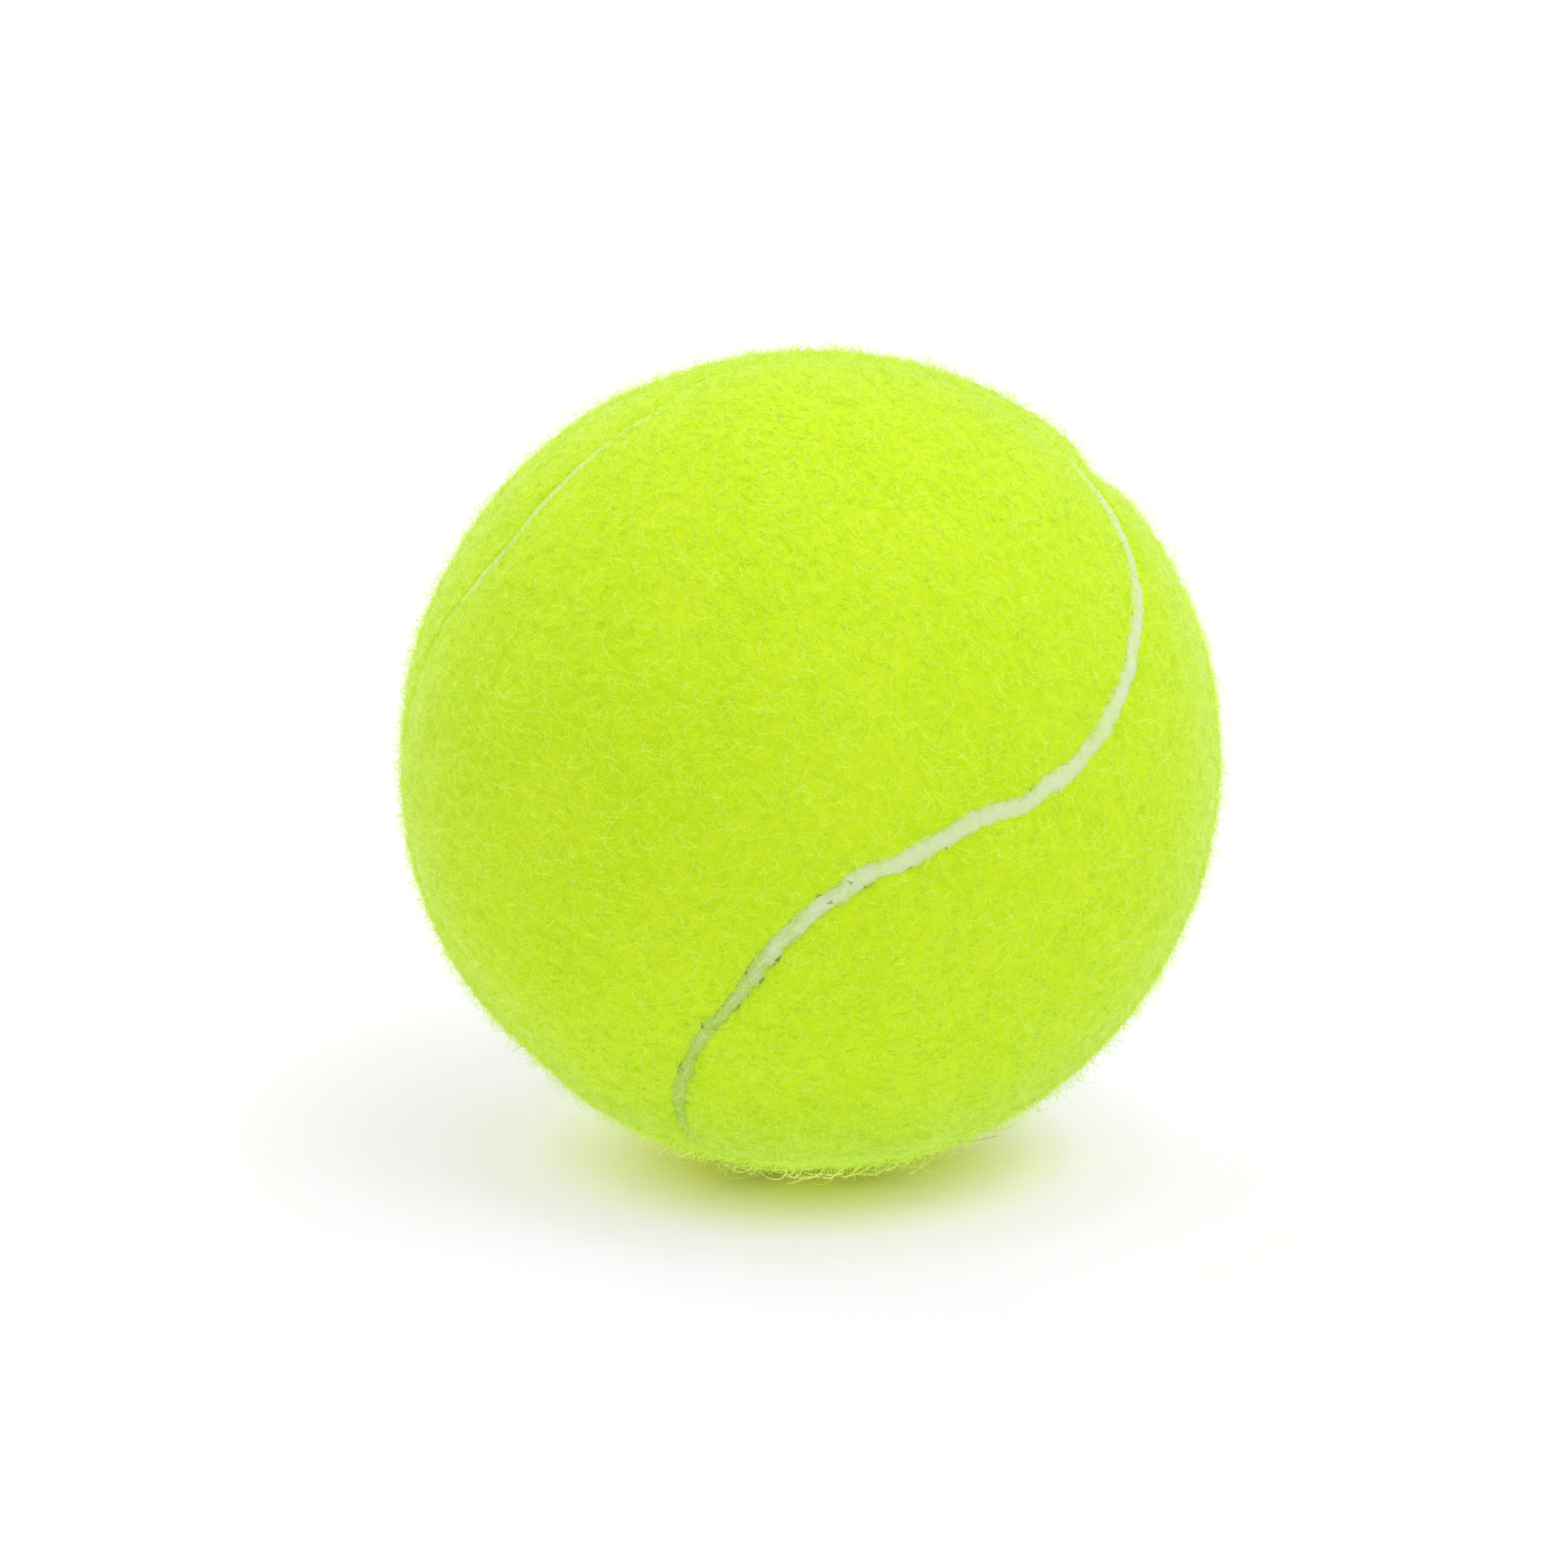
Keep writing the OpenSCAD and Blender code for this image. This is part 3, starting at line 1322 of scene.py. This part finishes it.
class FibreTree:
    """Geometry nodes that grow curled fibres from the nap. The inputs hold the sizes of one kind of fibre."""

    FLOATS = ("Density", "Length", "Width", "Rise", "Curl", "Drop", "Floor", "From Row", "To Row",
              "From Depth", "To Depth", "Circling")
    INTEGERS = ("Points", "Seed")
    THROWS = ("length", "rise", "arch", "phase", "turns", "tone")
    # The least share of a length or a rise, or the least angle in radians, and what a fibre's own throw adds
    LENGTH_SHARES = (0.55, 0.9)
    RISE_SHARES = (0.4, 1.6)
    ARCH_ANGLES = (1.3, 1.7)
    CURL_ANGLES = (2.5, 4.5)
    # The higher the power, the fewer fibres rise far
    RISE_POWER = 3.0
    # How far the curl lifts a fibre, as a share of how far it moves it sideways
    CURL_LIFT = 0.35
    # How deep a root is sunk, in widths of the fibre
    ROOT_WIDTHS = 1.5
    # The height over the nap at which a fibre has its palest tone, the full painted sheen
    PALEST_HEIGHT = 1.2 * MM
    # How much thinner the tip is than the root
    TAPER = 0.6
    # The sides of a fibre's section
    SIDES = 3
    # The free border of a fibre's field on the map
    BORDER = 0.15

    def __init__(self, finish: bpy.types.Material) -> None:
        """Builds the tree.

        Args:
            finish: The fibres' material.
        """
        self.tree = bpy.data.node_groups.new("fibre_coat", "GeometryNodeTree")
        self.graph = Graph(self.tree)
        face = self.tree.interface
        face.new_socket("Geometry", in_out="INPUT", socket_type="NodeSocketGeometry")
        for name in self.FLOATS:
            face.new_socket(name, in_out="INPUT", socket_type="NodeSocketFloat")
        for name in self.INTEGERS:
            face.new_socket(name, in_out="INPUT", socket_type="NodeSocketInt")
        face.new_socket("Geometry", in_out="OUTPUT", socket_type="NodeSocketGeometry")
        self.given = self.graph.node("NodeGroupInput")
        self.build(finish)

    def input(self, name: str) -> Wire:
        """Gives one of the tree's named inputs."""
        return Wire(self.graph, self.given.outputs[name])

    def stored(self, name: str, kind: str = "FLOAT") -> Wire:
        """Reads a named attribute."""
        node = self.graph.node("GeometryNodeInputNamedAttribute", {"Name": name}, data_type=kind)
        return Wire(self.graph, node.outputs["Attribute"])

    def store(self, geometry: Wire, name: str, value: Wire, kind: str = "FLOAT") -> Wire:
        """Stores a named attribute and gives the geometry that has it."""
        values = {"Geometry": geometry, "Name": name, "Value": value}
        return self.graph.wire("GeometryNodeStoreNamedAttribute", 0, values, data_type=kind, domain="POINT")

    def throw(self, offset: int) -> Wire:
        """Throws a random number from 0 to 1 for each fibre."""
        values = {"Seed": self.input("Seed") + offset}
        node = self.graph.node("FunctionNodeRandomValue", values, data_type="FLOAT")
        return self.graph.typed(node, {"Min_001": 0.0, "Max_001": 1.0}, "Value_001")

    def crossed(self, first: Wire, second: Wire) -> Wire:
        """Gives the cross product of two vectors."""
        return self.graph.wire("ShaderNodeVectorMath", 0, {0: first, 1: second}, operation="CROSS_PRODUCT")

    def roots(self) -> Wire:
        """Scatters the roots over the rows that were asked for, with each fibre's own numbers."""
        graph = self.graph
        row = self.stored("nap_row")
        height = graph.node("ShaderNodeSeparateXYZ", {0: graph.wire("GeometryNodeInputPosition", 0)})
        inside = (row > self.input("From Row")) * graph.maths("LESS_THAN", row, self.input("To Row"))
        depth = Wire(graph, height.outputs[2]) / self.input("Floor")
        inside = inside * (depth > self.input("From Depth"))
        inside = inside * graph.maths("LESS_THAN", depth, self.input("To Depth"))
        density = self.input("Density") * self.stored("nap_density") * inside
        values = {"Mesh": self.input("Geometry"), "Density": density, "Seed": self.input("Seed")}
        scatter = graph.node("GeometryNodeDistributePointsOnFaces", values, distribute_method="RANDOM")
        points = Wire(graph, scatter.outputs["Points"])
        normal = Wire(graph, scatter.outputs["Normal"])
        values = {"Seed": self.input("Seed") + 1}
        aim = graph.node("FunctionNodeRandomValue", values, data_type="FLOAT_VECTOR")
        aim.inputs[0].default_value = (-1, -1, -1)
        aim.inputs[1].default_value = (1, 1, 1)
        upright = graph.wire("ShaderNodeCombineXYZ", 0, {2: self.input("Circling")})
        aimed = Wire(graph, aim.outputs[0]) + upright
        lean = graph.wire("ShaderNodeVectorMath", 0, {0: self.crossed(normal, aimed)}, operation="NORMALIZE")
        points = self.store(points, "fibre_normal", normal, "FLOAT_VECTOR")
        points = self.store(points, "fibre_lean", lean, "FLOAT_VECTOR")
        points = self.store(points, "fibre_root", graph.wire("GeometryNodeInputPosition", 0), "FLOAT_VECTOR")
        for offset, name in enumerate(self.THROWS, 2):
            points = self.store(points, f"fibre_{name}", self.throw(offset))
        return points

    def varied(self, limits: tuple[float, float], name: str, power: float | None = None) -> Wire:
        """Gives a number of a fibre's own: the least one, and what its throw adds.

        Args:
            limits: The least number and what a full throw adds.
            name: The throw's name.
            power: A power that the throw is raised to first.

        Returns:
            The number.
        """
        thrown = self.stored(f"fibre_{name}")
        return limits[0] + limits[1] * (thrown if power is None else thrown ** power)

    def paths(self, points: Wire) -> Wire:
        """Draws each fibre's curved path from its root."""
        graph = self.graph
        line = graph.wire("GeometryNodeCurvePrimitiveLine", 0, {"Start": (0, 0, 0), "End": (0, 0, 1)})
        line = graph.wire("GeometryNodeResampleCurve", 0, {"Curve": line, "Count": self.input("Points")})
        grown = graph.wire("GeometryNodeInstanceOnPoints", 0, {"Points": points, "Instance": line})
        curves = graph.wire("GeometryNodeRealizeInstances", 0, {0: grown})
        way = graph.wire("GeometryNodeSplineParameter", "Factor")
        normal, lean = self.stored("fibre_normal", "FLOAT_VECTOR"), self.stored("fibre_lean", "FLOAT_VECTOR")
        side = self.crossed(normal, lean)
        length = self.input("Length") * self.varied(self.LENGTH_SHARES, "length")
        rise = self.input("Rise") * self.varied(self.RISE_SHARES, "rise", self.RISE_POWER)
        arch = graph.maths("SINE", way * self.varied(self.ARCH_ANGLES, "arch"))
        phase = self.stored("fibre_phase") * (2 * math.pi)
        turns = phase + way * self.varied(self.CURL_ANGLES, "turns")
        curl = self.input("Curl")
        sway = (graph.maths("SINE", turns) - graph.maths("SINE", phase)) * curl
        bob = (graph.maths("COSINE", turns) - graph.maths("COSINE", phase)) * curl * self.CURL_LIFT
        root = self.stored("fibre_root", "FLOAT_VECTOR") - normal * (self.input("Width") * self.ROOT_WIDTHS)
        place = root + lean * (length * way) + side * sway + normal * (rise * arch + bob)
        parts = graph.node("ShaderNodeSeparateXYZ", {0: place})
        lowest = self.input("Floor") + self.input("Width") * 0.5
        down = Wire(graph, parts.outputs[2]) - self.input("Drop") * way * way
        down = graph.maths("MAXIMUM", down, lowest)
        whole = graph.wire("ShaderNodeCombineXYZ", 0, {
            0: Wire(graph, parts.outputs[0]),
            1: Wire(graph, parts.outputs[1]),
            2: down,
        })
        curves = graph.wire("GeometryNodeSetPosition", 0, {"Geometry": curves, "Position": whole})
        curves = self.store(curves, "tip", way)
        # The height, which the fibres' materials turn into painted sheen
        curves = self.store(curves, "height", rise * arch / self.PALEST_HEIGHT)
        return self.store(curves, "tone", self.stored("fibre_tone"))

    def build(self, finish: bpy.types.Material) -> None:
        """Joins the steps: roots, paths, tubes and the material.

        Args:
            finish: The fibres' material.
        """
        graph = self.graph
        curves = self.paths(self.roots())
        taper = self.input("Width") * 0.5 * (1 - self.TAPER * self.stored("tip"))
        ring = graph.wire("GeometryNodeCurvePrimitiveCircle", 0, {"Resolution": self.SIDES, "Radius": 1.0})
        values = {"Curve": curves, "Profile Curve": ring, "Scale": taper, "Fill Caps": True}
        tubes = graph.wire("GeometryNodeCurveToMesh", 0, values)
        tubes = graph.wire("GeometryNodeRealizeInstances", 0, {0: tubes})
        tubes = graph.wire("GeometryNodeSetMaterial", 0, {"Geometry": tubes, "Material": finish})
        graph.node("NodeGroupOutput", {0: tubes})

    def grow(self, name: str, nap: bpy.types.Object, kind: FibreKind, rows: tuple[float, float],
             floor: float) -> bpy.types.Object:
        """Grows one piece of fibres as a plain mesh.

        Args:
            name: The new piece's name.
            nap: The nap that the fibres stand on.
            kind: The kind of fibre.
            rows: The first and last row of the panel, as shares of its length.
            floor: The height of the surface that the ball rests on, in metres.

        Returns:
            The new piece.
        """
        carrier = bpy.data.objects.new(name, nap.data.copy())
        bpy.context.scene.collection.objects.link(carrier)
        modifier = carrier.modifiers.new("fibres", "NODES")
        modifier.node_group = self.tree
        values = {
            "Density": kind.per_area,
            "Length": kind.length,
            "Width": kind.width,
            "Rise": kind.rise,
            "Curl": kind.curl,
            "Drop": kind.drop,
            "Floor": floor,
            "From Row": rows[0],
            "To Row": rows[1],
            "From Depth": kind.under[0],
            "To Depth": kind.under[1],
            "Circling": kind.circling,
            "Points": kind.points,
            "Seed": kind.seed,
        }
        for item in self.tree.interface.items_tree:
            if item.in_out == "INPUT" and item.name in values:
                modifier[item.identifier] = values[item.name]
        evaluated = carrier.evaluated_get(bpy.context.evaluated_depsgraph_get())
        mesh = bpy.data.meshes.new_from_object(evaluated)
        carrier.modifiers.clear()
        carrier.data = mesh
        mesh.name = name
        for spare in [a.name for a in mesh.attributes if a.name.startswith(("fibre_", "nap_"))]:
            mesh.attributes.remove(mesh.attributes[spare])
        mesh.polygons.foreach_set("use_smooth", np.ones(len(mesh.polygons), bool))
        self.map_fibres(mesh, kind.points)
        return carrier

    def map_fibres(self, mesh: bpy.types.Mesh, points: int) -> None:
        """Gives each fibre its own small field of a square map.

        Args:
            mesh: The fibres' mesh, where each fibre has a vertex for each of its sides at each of its points.
            points: The number of points along a fibre.
        """
        each = self.SIDES * points
        side = math.ceil(math.sqrt(max(1, len(mesh.vertices) // each)))
        fibre, rest = np.divmod(np.arange(len(mesh.vertices)), each)
        span = 1 - 2 * self.BORDER
        across = self.BORDER + span / (self.SIDES - 1) * (rest % self.SIDES)
        along = self.BORDER + span * (rest // self.SIDES) / (points - 1)
        draw_map(mesh, BAKE_MAP, np.stack([fibre % side + across, fibre // side + along], axis=-1) / side)


# The studio


@dataclass(frozen=True)
class Lamp:
    """A soft square lamp that faces the ball. The level is what it adds to a white surface that faces it."""

    name: str
    place: tuple[float, float, float]
    level: float
    side: float = 0.8

    def hang(self) -> None:
        """Adds the lamp to the scene."""
        away = Vector(self.place)
        data = bpy.data.lights.new(self.name, "AREA")
        data.size = self.side
        data.energy = self.level * math.pi ** 2 * away.length_squared
        lamp = bpy.data.objects.new(self.name, data)
        lamp.location = away
        lamp.rotation_euler = (-away).to_track_quat("-Z", "Y").to_euler()
        bpy.context.scene.collection.objects.link(lamp)


@dataclass
class Studio:
    """Floor, lamps, world and camera, set about the ball's centre."""

    ball_radius: float
    elevation_degrees: float = 16.0
    distance_shares: float = 24.0
    image_side: float = 1932.0
    outline_radius: float = 505.5
    outline_centre: tuple[float, float] = (998.6, 935.2)
    sensor: float = 36.0
    floor_half: float = 0.8
    world_level: float = 0.42
    lamps: tuple[Lamp, ...] = (
        Lamp("over the ball", (0.0, 0.0, 2.0), level=0.61, side=2.2),
        Lamp("high on the right", (0.35, -0.25, 0.9), level=0.15),
        Lamp("in front on the right", (0.45, -0.75, 0.65), level=0.06),
        Lamp("low on the left", (-0.9, -0.35, 0.25), level=0.03),
        Lamp("low on the right", (0.9, -0.35, 0.25), level=0.07),
        Lamp("behind on the left", (-0.6, 0.7, 0.3), level=0.24),
        Lamp("behind on the right", (0.6, 0.7, 0.3), level=0.08),
    )

    def camera(self) -> None:
        """Sets the camera where the photograph was taken from."""
        data = bpy.data.cameras.new("camera")
        distance = self.distance_shares * self.ball_radius
        focal = self.outline_radius * math.sqrt(self.distance_shares ** 2 - 1)
        data.sensor_width = self.sensor
        data.lens = self.sensor * focal / self.image_side
        data.shift_x = (self.image_side / 2 - self.outline_centre[0]) / self.image_side
        data.shift_y = (self.outline_centre[1] - self.image_side / 2) / self.image_side
        data.clip_start, data.clip_end = 0.01, 100.0
        rise = math.radians(self.elevation_degrees)
        back = Vector((0, -math.cos(rise), math.sin(rise)))
        camera = bpy.data.objects.new("camera", data)
        camera.location = back * distance
        camera.rotation_euler = (-back).to_track_quat("-Z", "Y").to_euler()
        bpy.context.scene.collection.objects.link(camera)
        bpy.context.scene.camera = camera

    def world(self) -> None:
        """Lights the scene evenly, before a background that the camera sees as white."""
        world = bpy.data.worlds.new("studio")
        world.use_nodes = True
        bpy.context.scene.world = world
        graph = Graph(world.node_tree)
        level = self.world_level + graph.background_rays() * (1.0 - self.world_level)
        back = graph.wire("ShaderNodeBackground", 0, {"Color": (1.0, 1.0, 1.0), "Strength": level})
        graph.node("ShaderNodeOutputWorld", {"Surface": back})

    def floor(self, height: float) -> None:
        """Lays the floor.

        Args:
            height: Its height in metres.
        """
        square = np.array([(-1, -1, 0), (1, -1, 0), (1, 1, 0), (-1, 1, 0)])
        corners = square * self.floor_half + (0, 0, height)
        floor = plain_mesh("floor", corners, [[0, 1, 2, 3]], PaleFloor().make())
        floor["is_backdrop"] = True

    def build(self, floor: float) -> None:
        """Sets up the whole studio.

        Args:
            floor: The floor's height in metres.
        """
        self.camera()
        self.world()
        self.floor(floor)
        for lamp in self.lamps:
            lamp.hang()
        bpy.context.scene.view_settings.view_transform = "Standard"


# The whole ball


@dataclass
class Core:
    """The rubber core: two moulded halves, the cement between them and the cured solution over them."""

    rubber: MouldedRubber = MouldedRubber()
    joint: RubberCement = RubberCement(
        Slot.JOINT.value, film=(0.58, 0.48, 0.25), thick=(0.44, 0.34, 0.15))
    solution: RubberCement = RubberCement(
        Slot.SOLUTION.value, film=(0.69, 0.62, 0.42), thick=(0.58, 0.50, 0.30))

    def dress(self) -> None:
        """Gives each CAD node of the core its finish."""
        rubber = self.rubber.make()
        for name, finish in (
            ("core_half_upper", rubber),
            ("core_half_lower", rubber),
            ("core_joint_cement", self.joint.make()),
            ("core_coat", self.solution.make()),
        ):
            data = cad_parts[name].data
            data.materials.clear()
            data.materials.append(finish)
            log.info("dressed %s", name)


@dataclass
class Ball:
    """The whole ball, from the core outwards."""

    cover: Cover
    floor: float
    coat: FibreKind = FibreKind(
        "fibres", per_area=3.6e6, length=1.15 * MM, width=0.062 * MM, rise=0.22 * MM, curl=0.16 * MM,
        drop=0.0, points=3, seed=100, rows=(0.0, 0.308, 0.5, 0.692, 1.0))
    down: FibreKind = FibreKind(
        "down", per_area=3.4e6, length=1.2 * MM, width=0.040 * MM, rise=0.75 * MM, curl=0.20 * MM,
        drop=0.0, points=3, seed=200, under=(-2.0, 0.93), rows=(0.0, 0.5, 1.0))
    strays: FibreKind = FibreKind(
        "strays", per_area=1.5e5, length=2.4 * MM, width=0.034 * MM, rise=1.0 * MM, curl=0.4 * MM,
        drop=0.1 * MM, points=7, seed=300)
    fringe: FibreKind = FibreKind(
        "fringe", per_area=5.0e5, length=4.8 * MM, width=0.19 * MM, rise=0.9 * MM, curl=0.80 * MM,
        drop=0.0, points=12, seed=500, under=(0.935, 0.985), circling=3.0)
    sector_seeds: int = 10
    second_panel_seeds: int = 50
    coat_finish: NapFibre = NapFibre()
    # The down is paler than the coat, painted sheen that pales the outline, and glows with painted light
    down_finish: NapFibre = NapFibre(
        "down_fibre", dark=(0.66, 0.90, 0.03), usual=(0.73, 0.93, 0.07), light=(0.84, 0.97, 0.28),
        through=0.24, sheen=0.5)
    # Strays are paler high above the nap, painted sheen, and glow with painted light
    stray_finish: NapFibre = NapFibre("stray_fibre", light=(0.86, 0.99, 0.30), through=0.24)
    # The fringe's dark strands are painted shade among the loops under the ball, and its fibres glow a little
    # with painted light
    fringe_finish: NapFibre = NapFibre(
        "fringe_fibre", dark=(0.32, 0.38, 0.05), usual=(0.74, 0.86, 0.16), light=(0.90, 0.96, 0.36),
        through=0.08, by_tone=0.95, by_height=0.0)

    def fibres(self, nap: bpy.types.Object, panel: Panel,
               trees: dict[str, FibreTree]) -> list[bpy.types.Object]:
        """Grows all the fibres of one panel.

        Args:
            nap: The panel's nap.
            panel: The panel.
            trees: The fibre tree for each kind.

        Returns:
            The pieces.
        """
        made = []
        panel_seeds = 0 if panel is Panel.A else self.second_panel_seeds
        for kind in (self.coat, self.down, self.strays, self.fringe):
            for sector, rows in enumerate(zip(kind.rows, kind.rows[1:])):
                own = replace(kind, seed=kind.seed + self.sector_seeds * sector + panel_seeds)
                name = f"{kind.name}_{panel.letter}_{sector + 1}"
                made.append(trees[kind.name].grow(name, nap, own, rows, self.floor))
        return made

    def build(self) -> None:
        """Builds the cover's pieces, dresses the core and hangs each piece on the ball's one body."""
        Core().dress()
        felt, cement, cloth = NapFelt().make(), EdgeCement().make(), WovenCloth().make()
        trees = {
            self.coat.name: FibreTree(self.coat_finish.make()),
            self.down.name: FibreTree(self.down_finish.make()),
            self.strays.name: FibreTree(self.stray_finish.make()),
            self.fringe.name: FibreTree(self.fringe_finish.make()),
        }
        strip = self.cover.strip(cement)
        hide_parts("seam")
        self.settle(strip)
        for panel in Panel:
            nap = self.cover.nap(panel, felt)
            pieces = self.fibres(nap, panel, trees)
            for spare in ("nap_density", "nap_row"):
                nap.data.attributes.remove(nap.data.attributes[spare])
            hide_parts(f"{Layer.NAP.value}_{panel.letter}")
            for piece in (nap, *pieces):
                self.settle(piece)
            base = self.cover.cloth(panel, cloth)
            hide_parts(f"{Layer.BASE.value}_{panel.letter}")
            self.settle(base)

    def settle(self, piece: bpy.types.Object) -> None:
        """Lets a finished piece ride on the ball's one body.

        Args:
            piece: The piece.
        """
        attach(piece, ROOT)
        log.info("built %s with %d faces", piece.name, len(piece.data.polygons))


# Where the pictured seam strays from its ideal line. A stretch has its station in degrees, reach and amount.
BENDS = (
    Stretch(318, 4.5 * MM, -0.32 * MM),
    Stretch(313, 4.0 * MM, 0.35 * MM),
    Stretch(266, 3.0 * MM, -0.25 * MM),
    Stretch(244, 8.0 * MM, -0.30 * MM),
    Stretch(165, 14.0 * MM, -1.15 * MM),
    Stretch(301.5, 4.2 * MM, 0.72 * MM),
    Stretch(284.5, 4.0 * MM, -0.62 * MM),
    Stretch(272, 3.2 * MM, -0.45 * MM),
    Stretch(265, 1.8 * MM, 0.45 * MM),
    Stretch(248, 5.0 * MM, -0.25 * MM),
    Stretch(241, 3.0 * MM, -0.38 * MM),
    Stretch(228.5, 3.0 * MM, 0.42 * MM),
    Stretch(216.5, 3.0 * MM, -0.72 * MM),
    Stretch(179, 6.0 * MM, -0.80 * MM),
    Stretch(181, 4.0 * MM, -0.45 * MM),
    Stretch(169, 2.5 * MM, 0.25 * MM),
    Stretch(157, 3.5 * MM, -0.55 * MM),
    Stretch(148, 2.5 * MM, 0.25 * MM),
)
# Where the felt closes in on the strip from each side
PINCHES = (
    Stretch(334, 12.0 * MM, -0.70 * MM),
    Stretch(308, 9.0 * MM, -0.29 * MM),
    Stretch(227, 2.5 * MM, 0.30 * MM),
    Stretch(213, 9.5 * MM, -0.45 * MM),
    Stretch(192, 11.0 * MM, -0.42 * MM),
    Stretch(164, 14.0 * MM, -0.40 * MM),
    Stretch(140, 9.0 * MM, -0.45 * MM),
)
# Where the strip is darker green, painted shade mixed with felt tint
SHADES_AND_STAINS = (
    Stretch(312, 18.0 * MM, 1.1),
)
# Where the felt has grown over the strip
FELTED = (
    Stretch(334, 10.0 * MM, 0.8),
    Stretch(214, 10.0 * MM, 1.0),
    Stretch(192, 11.0 * MM, 1.0),
    Stretch(178, 5.0 * MM, 0.3),
    Stretch(164, 14.0 * MM, 0.38),
    Stretch(140, 9.0 * MM, 1.0),
)
# Small gaps at the strip's edges, darkened with painted shade
NICKS = (
    Nick(Panel.A, Stretch(296.8, 0.7 * MM, 0.35 * MM)),
    Nick(Panel.A, Stretch(299.3, 0.5 * MM, 0.22 * MM)),
    Nick(Panel.A, Stretch(303.0, 0.5 * MM, 0.22 * MM)),
    Nick(Panel.A, Stretch(284.5, 0.4 * MM, 0.20 * MM)),
    Nick(Panel.B, Stretch(289.5, 0.4 * MM, 0.25 * MM)),
    Nick(Panel.B, Stretch(305.8, 0.4 * MM, 0.22 * MM)),
    Nick(Panel.B, Stretch(311.3, 0.6 * MM, 0.35 * MM)),
)
# Hollows in the felt at the pictured ball's outline
DENTS = (
    Dent((0.703, 0.196, 0.683), 1.9 * MM, 0.95 * MM, 4.0),
    Dent((-0.671, -0.205, -0.713), 4.0 * MM, 0.55 * MM, 2.0),
    Dent((-0.22, 0.27, 0.94), 8.0 * MM, 0.2 * MM),
)


def main() -> None:
    """Builds the ball and its studio."""
    logging.basicConfig(level=logging.INFO, format="%(name)s: %(message)s")
    cad_low, cad_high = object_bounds()
    radius = (cad_high.z - cad_low.z) / 2
    Studio(radius).build(cad_low.z)
    cover = Cover(SeamLine(bends=BENDS), radius, reach_of("felt_base_a"), reach_of("core_coat"),
                  pinches=PINCHES, shades_and_stains=SHADES_AND_STAINS, felted=FELTED, dents=DENTS, nicks=NICKS)
    Ball(cover, cad_low.z).build()


if __name__ == "__main__":
    main()
